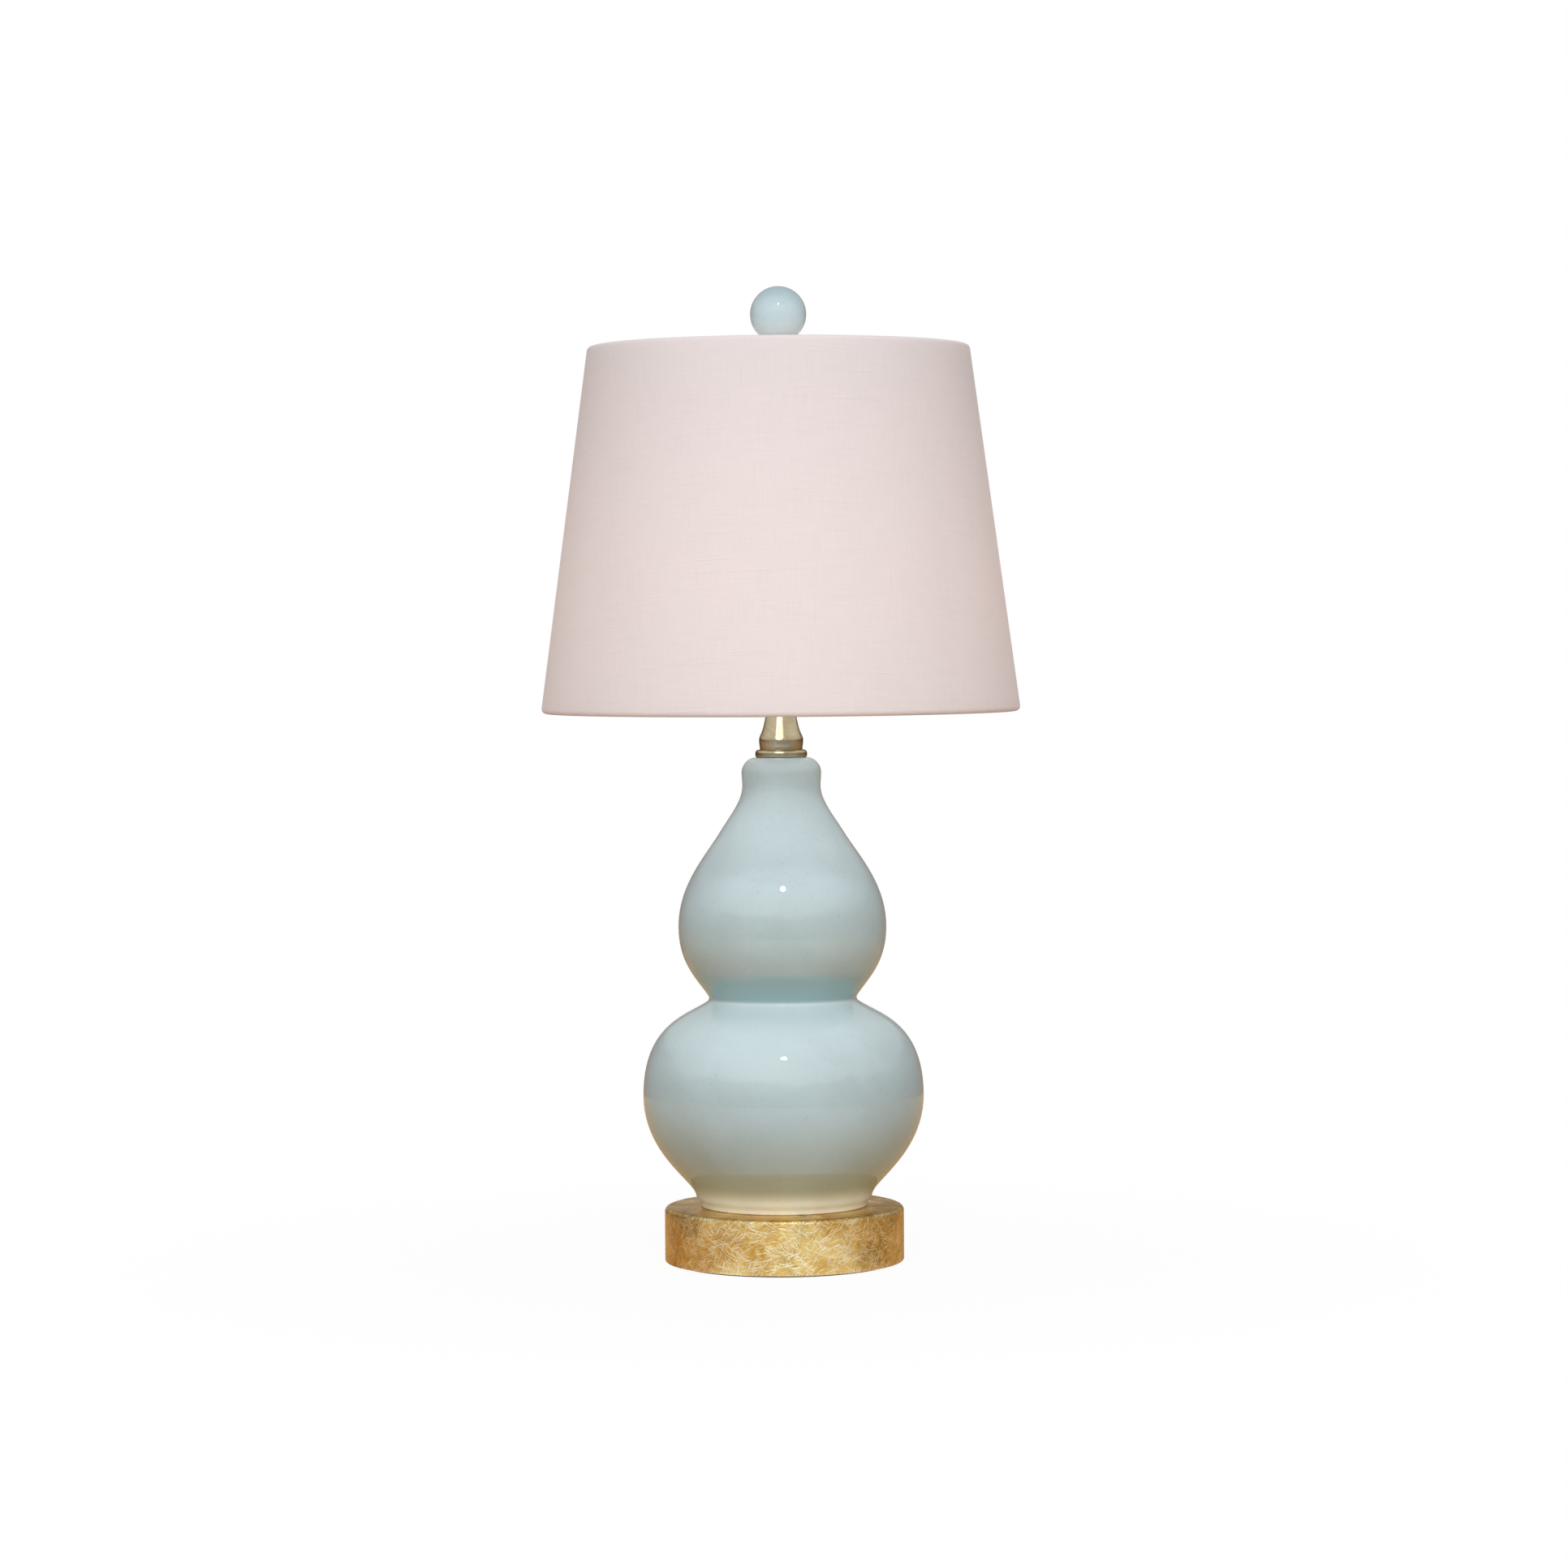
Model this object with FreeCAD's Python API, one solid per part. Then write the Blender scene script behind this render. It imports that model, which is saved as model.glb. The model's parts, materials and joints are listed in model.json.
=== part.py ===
import FreeCAD, Part
import math
import os

from FreeCAD import Vector

# Double gourd table lamp: a glazed gourd body on a round gilded plinth, a brass neck, a screw socket
# with a turn switch, a bulb, a harp with its stud, a hardback drum shade on a spider, and a ball finial.
# Millimetres, Z up. The origin is the centre of the felt underside, where the lamp stands.
# +Y is the back, where the cord goes in. The harp lies in the XZ plane.

# ---------------------------------------------------------------- clearances
thread_gap = 0.05        # between a nut, cap or post and the thread it turns on
running_gap = 0.06       # between a turning shaft and its hole, radially
seat_gap = 0.05          # between two flat faces that rest on each other and can part
loose_gap = 0.3          # between a part that slides past another and that other
wall_gap = 0.1           # between nested sleeves
overcut = 1.0            # how far a cutting tool runs past the face that it cuts
small_edge = 0.3         # broken edge of washers and thin rims
machined_edge = 0.4      # broken edge of turned parts

# ---------------------------------------------------------------- plinth and felt
felt_radius = 58.0
felt_thickness = 1.2
plinth_radius = 63.75
plinth_height = 29.3
plinth_top_edge = 1.6
plinth_bottom_edge = 1.2
pocket_radius = 17.0
pocket_depth = 14.0
channel_height = 9.5     # centre of the cord channel, above the plinth underside
channel_radius = 4.0

inlet_bore_radius = 3.4
inlet_body_radius = 5.0
inlet_body_length = 9.0
inlet_flange_radius = 7.0
inlet_flange_thickness = 2.0
inlet_flange_proud = 1.0
inlet_flange_edge = 0.8

# ---------------------------------------------------------------- threaded pipe and its fasteners
pipe_radius = 5.1
pipe_bore_radius = 3.4
pipe_tail = 1.6          # how far the pipe stands out of its lower nut
washer_radius = 14.0
washer_thickness = 1.6
nut_width = 14.3         # across the flats
nut_thickness = 3.4

# ---------------------------------------------------------------- gourd, each rise from the station below it
foot_radius = 44.6
foot_edge = 1.2
foot_top_radius = 46.95
foot_top_height = 6.0
foot_ring_width = 6.5
floor_thickness = 4.4
lower_belly_radius = 74.7
lower_belly_rise = 53.3   # from the top of the foot
waist_radius = 38.6
waist_rise = 51.3
groove_radius = 2.0
upper_belly_radius = 55.35
upper_belly_rise = 38.3
bend_radius = 32.9
bend_rise = 50.6
throat_radius = 20.85
throat_rise = 24.5
lip_radius = 21.2
lip_rounding = 8.3
lip_rise = 15.1
mouth_radius = 12.2
mouth_web = 5.5
mouth_edge = 1.0
gourd_wall = 4.5
gourd_hole_radius = 7.0
cavity_steps = 5         # points that set the hollow, along each stretch of the outside
# slopes from the vertical, in degrees, positive outwards going up
flare_slope = 10.6
shoulder_slope = -54.0
rise_slope = 32.9
bend_slope = -31.9
# how far each stretch of the outline keeps to its end directions
foot_pull = 2.2
flare_pull = 8.3
lower_belly_pull_below = 31.0
lower_belly_pull_above = 39.2
shoulder_pull = 11.4
rise_pull = 10.2
upper_belly_pull_below = 19.8
upper_belly_pull_above = 22.6
bend_pull_below = 15.6
bend_pull_above = 10.3
throat_pull = 8.0

# ---------------------------------------------------------------- vase cap and neck
cap_flange_radius = 13.8
cap_flange_thickness = 4.0
cap_spigot_length = 4.0
cap_spigot_wall = 2.4
cap_flange_edge = 1.95
neck_height = 25.5
neck_foot_radius = 11.3
neck_foot_pull = 1.3
neck_ring_radius = 11.9
neck_ring_height = 4.7   # widest part of the ring, above the vase cap
neck_ring_pull = 1.5
neck_ring_slope = -32.0  # where the ring runs into the flare, in degrees
neck_flare_radius = 10.9
neck_flare_height = 7.7
neck_flare_slope = -23.0
neck_flare_pull = 4.2
neck_top_radius = 7.2
neck_top_slope = -6.0
neck_top_pull = 7.5
neck_wall = 1.2
neck_web = 2.4           # thickness of the neck's top, round the pipe
neck_cavity_pull = 8.5

# ---------------------------------------------------------------- harp, saddle and sleeves
strip_thickness = 1.6
strip_width = 9.0
saddle_pad_radius = 9.0
saddle_spread = 51.0     # from leg to leg
saddle_rise = 11.9       # saddle underside to the shoulders that the sleeves rest on
saddle_bend = 2.4
tongue_width = 4.4
tongue_length = 7.5
tongue_inset = 0.2       # from the middle of a leg to the flat that laps the tongue
paddle_rise = 1.2        # flattened leg end, above the tongue
paddle_drop = 6.9        # and below its top
wire_radius = 1.6        # harp and spider wire
lap_gap = 0.1            # between the saddle tongue and the flattened leg end
leg_straight = 22.0      # straight length of a leg above its joint with the tongue
harp_height = 178.0      # saddle underside to the seat under the shade
harp_width = 88.0        # at the widest, centre to centre
flare_turn = 14.0        # degrees
flare_bend = 40.0
crown_turn = 35.0        # degrees
crown_bend = 18.0
stud_pad_radius = 6.5
stud_pad_thickness = 2.2
stud_pad_edge = 0.5
sleeve_length = 14.0
sleeve_cavity_radius = 3.1
sleeve_end_gap = 0.4
sleeve_radius = 4.3
sleeve_edge = 0.7
sleeve_bead = 0.35
sleeve_bead_inset = 2.8  # middle of a bead, from the sleeve's end
sleeve_bead_flat = 0.6

stud_shank_radius = 2.1
stud_flange_radius = 5.5
stud_flange_thickness = 1.5
stud_post_radius = 3.1
stud_post_length = 11.5
rivet_radius = 3.8
rivet_thickness = 1.2
rivet_edge = 0.7
stud_post_edge = 0.6

# ---------------------------------------------------------------- shade
shade_top_radius = 99.0      # centre of the top ring wire
shade_bottom_radius = 124.5  # centre of the bottom ring wire
shade_height = 188.9         # from ring to ring
spider_drop = 7.0            # from the top ring down to the middle of the washer
ring_wire_radius = 1.45
cover_thickness = 0.6
liner_thickness = 0.4
hem_radius = 2.5             # outside of the hem rolled round a ring
hem_tail = 11.0              # the hem turned in, along the slope from the ring
hem_turn = 35.0              # degrees by which the hem comes back towards the liner
ring_room = 6.4              # cleared round the top ring for the ends of the arms
spider_washer_radius = 12.0
spider_washer_thickness = 1.5
spider_arms = 3
spider_reach = 84.0          # where an arm starts to rise
spider_bend = 6.0
notch_gap = 0.25

# ---------------------------------------------------------------- finial
ball_radius = 14.9
ball_gap_to_washer = 10.6    # washer top to the lowest point of the whole ball
ball_flat = 1.0
finial_flange_radius = 6.2
finial_flange_thickness = 1.6
finial_neck_radius = 4.4
finial_cup_radius = 6.6
finial_cup_thickness = 1.6
finial_stem_radius = 3.95
finial_stem_length = 9.0
finial_taper = 1.2       # height of the slopes to its flange and cup
finial_bend = 0.8
finial_bore_room = 1.0   # above the end of the post
finial_cement_room = 0.5

# ---------------------------------------------------------------- socket
hub_radius = 9.0
hub_height = 7.0
hub_edge = 0.8
hub_fillet = 1.2
dome_height = 17.0       # cap underside to the start of its rim
cap_rim_radius = 17.2
cap_rim_height = 6.0
cap_wall = 0.85
dome_step = 3.0          # the dome's shoulder, in from the rim
dome_drop = 4.5          # and below it
dome_bend = 4.0
rim_bend = 2.0
shell_radius = 16.2
shell_wall = 0.5
shell_length = 40.0
shell_tuck = 4.6         # how far the shell goes down inside the cap
shell_bead = 0.6
shell_bead_drop = 9.0    # bead below the shell's top edge
shell_bead_flat = 1.1    # half of the bead's flat top
shell_bead_bend = 0.6
shell_hole_gap = 0.9     # round the switch shaft
fibre_hole_gap = 0.6
fibre_wall = 0.6
fibre_proud = 1.2
mouth_bushing_flange = 1.5
mouth_bushing_length = 6.0
mouth_bushing_wall = 0.7
body_height = 17.5
body_gap = 1.0           # socket body above the lower edge of the shell
terminal_depth = 2.8
terminal_head_radius = 3.0
terminal_head_thickness = 1.8
terminal_shank_radius = 1.5
terminal_shank_length = 3.2
terminal_height = 6.0    # above the body's underside
terminal_room = 1.2      # round each screw head
slot_width = 0.8
slot_depth = 0.7
leaf_radius = 3.4
leaf_thickness = 0.5
leaf_rise = 2.6
set_screw_radius = 1.5
set_screw_height = 3.2   # above the cap underside
set_screw_proud = 0.6

switch_height = 10.0     # shaft centre above the body's underside
shaft_radius = 2.2
shaft_length = 17.0
rotor_radius = 4.0
rotor_length = 5.0
rotor_lobe_radius = 1.0
rotor_lobes = 4
rotor_pocket_radius = 5.4
rotor_depth = 3.0        # rotor centre in front of the axis
blade_thickness = 0.5
blade_width = 3.6
blade_height = 7.0
knob_radius = 6.2
knob_length = 13.0
knob_tip_radius = 5.4
knob_edge = 1.2
knob_flutes = 14
knob_flute_radius = 0.7
knob_flute_offset = 0.2  # flute centres outside the knob's side
knob_gap = 1.6           # from the shell to the knob
knob_grip = 6.0          # how deep the shaft sits in the knob

# ---------------------------------------------------------------- bulb
thread_pitch = 3.63
thread_crest_radius = 13.05
thread_root_radius = 12.35
thread_turns = 4
thread_wall = 0.35
thread_clearance = 0.25
bulb_contact_radius = 3.0
bulb_contact_height = 1.6
bulb_insulator_radius = 10.4
bulb_insulator_height = 3.6
bulb_insulator_edge = 1.0
bulb_contact_edge = 0.7
bulb_taper_height = 2.4
bulb_collar_radius = 13.3
bulb_collar_height = 4.0
bulb_length = 107.0
bulb_radius = 30.0
bulb_neck_pull = 26.0
bulb_belly_pull = 20.0
bulb_crown_pull = 16.6
bulb_glass = 0.8
bulb_neck_tuck = 2.4
bulb_neck_straight = 1.0
stem_length = 24.0
stem_flange = 1.0
stem_waist_radius = 5.1
stem_waist_bend = 8.0
stem_top_radius = 3.6
stem_edge = 0.8
lead_radius = 0.4
lead_length = 18.0
lead_buried = 3.0
lead_spread = 22.0
filament_radius = 0.5
filament_sag = 3.0

# ---------------------------------------------------------------- levels, from the table up
plinth_bottom = felt_thickness
plinth_top = plinth_bottom + plinth_height
pocket_top = plinth_bottom + pocket_depth
channel_level = plinth_bottom + channel_height
base_nut_bottom = pocket_top - washer_thickness - nut_thickness
pipe_bottom = base_nut_bottom - pipe_tail

gourd_foot = plinth_top
foot_top_level = gourd_foot + foot_top_height
lower_belly_level = foot_top_level + lower_belly_rise
waist_level = lower_belly_level + waist_rise
upper_belly_level = waist_level + upper_belly_rise
bend_level = upper_belly_level + bend_rise
throat_level = bend_level + throat_rise
gourd_top = throat_level + lip_rise
neck_bottom = gourd_top + cap_flange_thickness
neck_top = neck_bottom + neck_height

saddle_bottom = neck_top
saddle_top = saddle_bottom + strip_thickness
saddle_shoulder = saddle_bottom + saddle_rise
tongue_top = saddle_shoulder + tongue_length
sleeve_bottom = saddle_shoulder + seat_gap
leg_bottom = tongue_top + seat_gap
paddle_top = tongue_top + paddle_rise
leg_x = saddle_spread / 2

seat_level = saddle_bottom + harp_height
stud_pad_top = seat_level - stud_flange_thickness - seat_gap
stud_pad_middle = stud_pad_top - stud_pad_thickness / 2

washer_bottom = seat_level + seat_gap
washer_top = washer_bottom + spider_washer_thickness
top_ring_level = washer_bottom + spider_washer_thickness / 2 + spider_drop
bottom_ring_level = top_ring_level - shade_height
finial_bottom = washer_top + seat_gap
ball_centre = washer_top + ball_gap_to_washer + ball_radius
ball_bottom = ball_centre - ball_radius + ball_flat

socket_bottom = saddle_top + nut_thickness
hub_top = socket_bottom + hub_height
rim_bottom = socket_bottom + dome_height
rim_top = rim_bottom + cap_rim_height
shell_bottom = rim_top - shell_tuck
shell_top = shell_bottom + shell_length
body_bottom = shell_bottom + body_gap
body_top = body_bottom + body_height
shaft_level = body_bottom + switch_height
pipe_top = hub_top + strip_thickness
fibre_radius = shell_radius - shell_wall - wall_gap
body_radius = fibre_radius - fibre_wall - wall_gap

bulb_bottom = body_top + leaf_rise + leaf_thickness + seat_gap
insulator_bottom = bulb_bottom + bulb_contact_height / 2
thread_bottom = insulator_bottom + bulb_insulator_height + bulb_taper_height
thread_top = thread_bottom + thread_turns * thread_pitch
collar_top = thread_top + bulb_collar_height
bulb_top = bulb_bottom + bulb_length
bulb_centre = bulb_top - bulb_radius
bulb_neck_radius = bulb_collar_radius - thread_wall - thread_gap
stem_foot = collar_top - bulb_neck_tuck


# ================================================================ shaping helpers
def at(radius, height):
    """A point of an outline, in the XZ plane."""
    return Vector(radius, 0, height)


def straight(start, end):
    return Part.LineSegment(start, end).toShape()


def corner(before, point, after, radius):
    """Ends and middle of the arc that rounds one corner of an outline."""
    back = (before - point).normalize()
    on = (after - point).normalize()
    half = back.getAngle(on) / 2
    cut = min(radius / math.tan(half), before.distanceToPoint(point) / 2, after.distanceToPoint(point) / 2)
    radius = cut * math.tan(half)
    centre = point + (back + on).normalize() * (radius / math.sin(half))
    middle = centre + (point - centre).normalize() * radius
    return point + back * cut, middle, point + on * cut


def outline(stations):
    """A closed wire through (radius, height) stations. A third number rounds that corner."""
    points = [at(s[0], s[1]) for s in stations]
    count = len(points)
    edges = []
    last = None
    first = None
    for i in range(count):
        if len(stations[i]) > 2 and stations[i][2] > 0:
            start, middle, end = corner(points[i - 1], points[i], points[(i + 1) % count], stations[i][2])
        else:
            start = end = points[i]
            middle = None
        if last is None:
            first = start
        elif last.distanceToPoint(start) > 1e-6:
            edges.append(straight(last, start))
        if middle is not None:
            edges.append(Part.Arc(start, middle, end).toShape())
        last = end
    if last.distanceToPoint(first) > 1e-6:
        edges.append(straight(last, first))
    return Part.Wire(edges)


def facing_out(solid):
    if solid.Volume < 0:
        solid.reverse()
    return solid


def spin(wire):
    """The solid that a closed outline sweeps round the Z axis."""
    return facing_out(Part.Face(wire).revolve(Vector(0, 0, 0), Vector(0, 0, 1), 360))


def turned(stations):
    return spin(outline(stations))


def tube(outer, inner, bottom, top, edge=0.0):
    return turned([(inner, bottom), (outer, bottom, edge), (outer, top, edge), (inner, top)])


def drum(radius, bottom, top):
    return Part.makeCylinder(radius, top - bottom, Vector(0, 0, bottom))


def rod(radius, start, end):
    """A round bar from one point to another."""
    return Part.makeCylinder(radius, start.distanceToPoint(end), start, end - start)


def slab(low, high):
    """A box between two corners."""
    size = high - low
    return Part.makeBox(size.x, size.y, size.z, low)


def lean(slope):
    """The upward direction that leans outwards by a slope in degrees."""
    return at(math.sin(math.radians(slope)), math.cos(math.radians(slope)))


def curve(start, start_slope, start_pull, end, end_slope, end_pull):
    """A smooth stretch of outline that leaves and arrives at given slopes."""
    bezier = Part.BezierCurve()
    bezier.setPoles([start, start + lean(start_slope) * start_pull, end - lean(end_slope) * end_pull, end])
    return bezier.toShape()


def through(points):
    """One smooth edge through points."""
    spline = Part.BSplineCurve()
    spline.interpolate(points)
    return spline.toShape()


def bent_wire(path, radius, direction):
    """Round wire of a radius along a path that starts in a direction."""
    start = path[0].firstVertex().Point
    section = Part.Wire(Part.makeCircle(radius, start, direction))
    return facing_out(Part.Wire(path).makePipeShell([section], True, False))


def hexagon(width, bottom, top, hole_radius):
    """A nut round the Z axis."""
    across = width / math.sqrt(3)
    corners = [Vector(math.cos(k * math.pi / 3), math.sin(k * math.pi / 3), 0) * across + Vector(0, 0, bottom)
               for k in range(7)]
    nut = Part.Face(Part.makePolygon(corners)).extrude(Vector(0, 0, top - bottom))
    chamfer = across - width / 2
    envelope = turned([(0, bottom), (width / 2, bottom), (across, bottom + chamfer / 2),
                       (across, top - chamfer / 2), (width / 2, top), (0, top)])
    return nut.common(envelope).cut(drum(hole_radius, bottom - overcut, top + overcut))


# ================================================================ plinth, felt, inlet
def make_plinth():
    plinth = turned([(pipe_radius + loose_gap, pocket_top), (pipe_radius + loose_gap, plinth_top),
                     (plinth_radius, plinth_top, plinth_top_edge),
                     (plinth_radius, plinth_bottom, plinth_bottom_edge),
                     (pocket_radius, plinth_bottom), (pocket_radius, pocket_top)])
    back = plinth_radius + overcut
    seat = plinth_radius - inlet_flange_thickness + inlet_flange_proud
    for radius, front in ((channel_radius, 0), (inlet_body_radius, seat - inlet_body_length),
                          (inlet_flange_radius + wall_gap, seat)):
        plinth = plinth.cut(rod(radius, Vector(0, front, channel_level), Vector(0, back, channel_level)))
    return plinth


def make_inlet_bushing():
    """The insulating bushing where the cord enters, its bore open along Y."""
    seat = plinth_radius - inlet_flange_thickness + inlet_flange_proud
    bushing = turned([(inlet_bore_radius, -inlet_body_length),
                      (inlet_body_radius, -inlet_body_length, machined_edge),
                      (inlet_body_radius, 0), (inlet_flange_radius, 0),
                      (inlet_flange_radius, inlet_flange_thickness, inlet_flange_edge),
                      (inlet_bore_radius, inlet_flange_thickness, machined_edge)])
    bushing.rotate(Vector(0, 0, 0), Vector(1, 0, 0), -90)
    bushing.translate(Vector(0, seat, channel_level))
    return bushing


def make_felt():
    return turned([(0, 0), (felt_radius, 0), (felt_radius, felt_thickness, machined_edge),
                   (0, felt_thickness)])


# ================================================================ gourd
def gourd_outside():
    """The edges of the gourd's outside, from its foot to the start of its lip, going up."""
    foot = at(foot_top_radius, foot_top_level)
    lower = at(lower_belly_radius, lower_belly_level)
    waist = at(waist_radius, waist_level)
    upper = at(upper_belly_radius, upper_belly_level)
    bend = at(bend_radius, bend_level)
    throat = at(throat_radius, throat_level)
    half = math.radians(rise_slope - shoulder_slope) / 2
    reach = groove_radius * math.tan(half)
    shoulder = waist - lean(shoulder_slope) * reach
    rise = waist + lean(rise_slope) * reach
    inside = (lean(rise_slope) - lean(shoulder_slope)).normalize()
    deepest = waist + inside * (groove_radius / math.cos(half) - groove_radius)
    return [curve(foot, flare_slope, flare_pull, lower, 0, lower_belly_pull_below),
            curve(lower, 0, lower_belly_pull_above, shoulder, shoulder_slope, shoulder_pull),
            Part.Arc(shoulder, deepest, rise).toShape(),
            curve(rise, rise_slope, rise_pull, upper, 0, upper_belly_pull_below),
            curve(upper, 0, upper_belly_pull_above, bend, bend_slope, bend_pull_below),
            curve(bend, bend_slope, bend_pull_above, throat, 0, throat_pull)]


def gourd_cavity(outside):
    """The hollow inside the gourd, one wall in from its outside."""
    points = []
    for edge in outside:
        low, high = edge.ParameterRange
        for k in range(cavity_steps):
            where = low + (high - low) * k / cavity_steps
            along = edge.tangentAt(where)
            if along.z < 0:
                along = -along
            points.append(edge.valueAt(where) - at(along.z, -along.x) * gourd_wall)
    points.sort(key=lambda p: p.z)
    points[0] = at(foot_top_radius - gourd_wall, foot_top_level)
    points.append(at(throat_radius - gourd_wall, throat_level))
    web = gourd_top - mouth_web
    wire = Part.Wire([straight(at(0, foot_top_level), points[0]), through(points),
                      straight(points[-1], at(throat_radius - gourd_wall, web)),
                      straight(at(throat_radius - gourd_wall, web), at(0, web)),
                      straight(at(0, web), at(0, foot_top_level))])
    return spin(wire)


def make_gourd():
    outside = gourd_outside()
    foot_corner = at(foot_radius, gourd_foot + foot_edge)
    foot_top = at(foot_top_radius, foot_top_level)
    foot_sagitta = foot_edge * (1 - math.sqrt(0.5))
    foot_middle = at(foot_radius - foot_sagitta, gourd_foot + foot_sagitta)
    lip_start = at(lip_radius, gourd_top - lip_rounding)
    lip_end = at(lip_radius - lip_rounding, gourd_top)
    lip_sagitta = lip_rounding * (1 - math.sqrt(0.5))
    lip_middle = at(lip_radius - lip_sagitta, gourd_top - lip_sagitta)
    throat = at(throat_radius, throat_level)
    lip_pull = (lip_rise - lip_rounding) / 3
    edges = [straight(at(0, gourd_foot), at(foot_radius - foot_edge, gourd_foot)),
             Part.Arc(at(foot_radius - foot_edge, gourd_foot), foot_middle, foot_corner).toShape(),
             curve(foot_corner, flare_slope, foot_pull, foot_top, flare_slope, foot_pull)]
    edges += outside
    edges += [curve(throat, 0, lip_pull, lip_start, 0, lip_pull),
              Part.Arc(lip_start, lip_middle, lip_end).toShape(),
              straight(lip_end, at(0, gourd_top)),
              straight(at(0, gourd_top), at(0, gourd_foot))]
    gourd = spin(Part.Wire(edges)).cut(gourd_cavity(outside))
    recess = foot_top_height - floor_thickness
    gourd = gourd.cut(drum(foot_radius - foot_ring_width, gourd_foot - overcut, gourd_foot + recess))
    gourd = gourd.cut(drum(gourd_hole_radius, gourd_foot, foot_top_level + overcut))
    below = gourd_top - mouth_web - overcut
    above = gourd_top + overcut
    mouth = turned([(0, below), (mouth_radius, below), (mouth_radius, gourd_top - mouth_edge),
                    (mouth_radius + mouth_edge, gourd_top), (mouth_radius + mouth_edge, above), (0, above)])
    return gourd.cut(mouth)


# ================================================================ pipe and fasteners
def make_pipe():
    return tube(pipe_radius, pipe_bore_radius, pipe_bottom, pipe_top, machined_edge)


def make_base_washer():
    return tube(washer_radius, pipe_radius + loose_gap, pocket_top - washer_thickness, pocket_top, small_edge)


def make_base_nut():
    return hexagon(nut_width, base_nut_bottom, base_nut_bottom + nut_thickness, pipe_radius + thread_gap)


def make_saddle_nut():
    return hexagon(nut_width, saddle_top, socket_bottom, pipe_radius + thread_gap)


def make_mouth_bushing():
    """Insulating collar in the top of the pipe, so that its edge can't cut the cord."""
    spigot = pipe_bore_radius - thread_gap
    inner = spigot - mouth_bushing_wall
    low = pipe_top - mouth_bushing_length
    high = pipe_top + mouth_bushing_flange
    return turned([(inner, low), (spigot, low), (spigot, pipe_top), (pipe_radius, pipe_top),
                   (pipe_radius, high, machined_edge), (inner, high, machined_edge)])


# ================================================================ brass between gourd and socket
def make_vase_cap():
    hole = pipe_radius + wall_gap
    spigot = mouth_radius - loose_gap
    return turned([(hole, gourd_top), (spigot - cap_spigot_wall, gourd_top),
                   (spigot - cap_spigot_wall, gourd_top - cap_spigot_length),
                   (spigot, gourd_top - cap_spigot_length), (spigot, gourd_top),
                   (cap_flange_radius, gourd_top, cap_flange_edge),
                   (cap_flange_radius, neck_bottom, cap_flange_edge),
                   (hole, neck_bottom)])


def make_neck():
    """Bell-shaped brass neck: a rounded ring at its foot, then a concave flare up to its collar."""
    ring = at(neck_ring_radius, neck_bottom + neck_ring_height)
    foot = at(neck_foot_radius, neck_bottom)
    flare = at(neck_flare_radius, neck_bottom + neck_flare_height)
    top = at(neck_top_radius, neck_top)
    hole = pipe_radius + wall_gap
    cavity_low = neck_foot_radius - neck_wall
    web = at(hole, neck_top - neck_web)
    wire = Part.Wire([straight(at(cavity_low, neck_bottom), foot),
                      curve(foot, 0, neck_foot_pull, ring, 0, neck_ring_pull),
                      curve(ring, 0, neck_ring_pull, flare, neck_ring_slope, neck_foot_pull / 2),
                      curve(flare, neck_flare_slope, neck_flare_pull, top, neck_top_slope, neck_top_pull),
                      straight(top, at(hole, neck_top)),
                      straight(at(hole, neck_top), web),
                      curve(at(cavity_low, neck_bottom), 0, neck_cavity_pull, web, 0, neck_cavity_pull)])
    return spin(wire)


# ================================================================ socket
def make_socket_cap():
    hole = pipe_radius + thread_gap
    inner = hub_radius - cap_wall
    rim_inner = cap_rim_radius - cap_wall
    shoulder = rim_bottom - dome_drop
    floor = hub_top + cap_wall
    cap = turned([(hole, socket_bottom), (hub_radius, socket_bottom, hub_edge),
                  (hub_radius, hub_top, hub_fillet), (cap_rim_radius - dome_step, shoulder, dome_bend),
                  (cap_rim_radius, rim_bottom, rim_bend), (cap_rim_radius, rim_top, small_edge),
                  (rim_inner, rim_top), (rim_inner, rim_bottom, rim_bend),
                  (rim_inner - dome_step, shoulder, dome_bend), (inner, floor, hub_fillet), (hole, floor)])
    level = socket_bottom + set_screw_height
    return cap.cut(rod(set_screw_radius + thread_gap, Vector(0, 0, level),
                       Vector(0, hub_radius + overcut, level)))


def make_set_screw():
    """Slotted screw through the hub, which stops the cap turning on the pipe."""
    level = socket_bottom + set_screw_height
    start = pipe_radius + 2 * thread_gap
    end = hub_radius + set_screw_proud
    screw = rod(set_screw_radius, Vector(0, start, level), Vector(0, end, level))
    slot = slab(Vector(-set_screw_radius - overcut, end - slot_depth, level - slot_width / 2),
                Vector(set_screw_radius + overcut, end + overcut, level + slot_width / 2))
    return screw.cut(slot)


def make_socket_shell():
    inner = shell_radius - shell_wall
    bead = shell_top - shell_bead_drop
    swell = shell_radius + shell_bead
    shell = turned([(inner, shell_bottom), (shell_radius, shell_bottom),
                    (shell_radius, bead - 2 * shell_bead_flat, shell_bead_bend),
                    (swell, bead - shell_bead_flat, shell_bead_bend),
                    (swell, bead + shell_bead_flat, shell_bead_bend),
                    (shell_radius, bead + 2 * shell_bead_flat, shell_bead_bend),
                    (shell_radius, shell_top), (inner, shell_top)])
    return shell.cut(rod(shaft_radius + shell_hole_gap, Vector(0, 0, shaft_level),
                         Vector(0, -shell_radius - overcut, shaft_level)))


def make_socket_fibre():
    """The insulating sleeve of pressed fibre between the shell and the live parts."""
    sleeve = tube(fibre_radius, fibre_radius - fibre_wall, body_bottom, shell_top + fibre_proud)
    return sleeve.cut(rod(shaft_radius + fibre_hole_gap, Vector(0, 0, shaft_level),
                          Vector(0, -shell_radius, shaft_level)))


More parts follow.
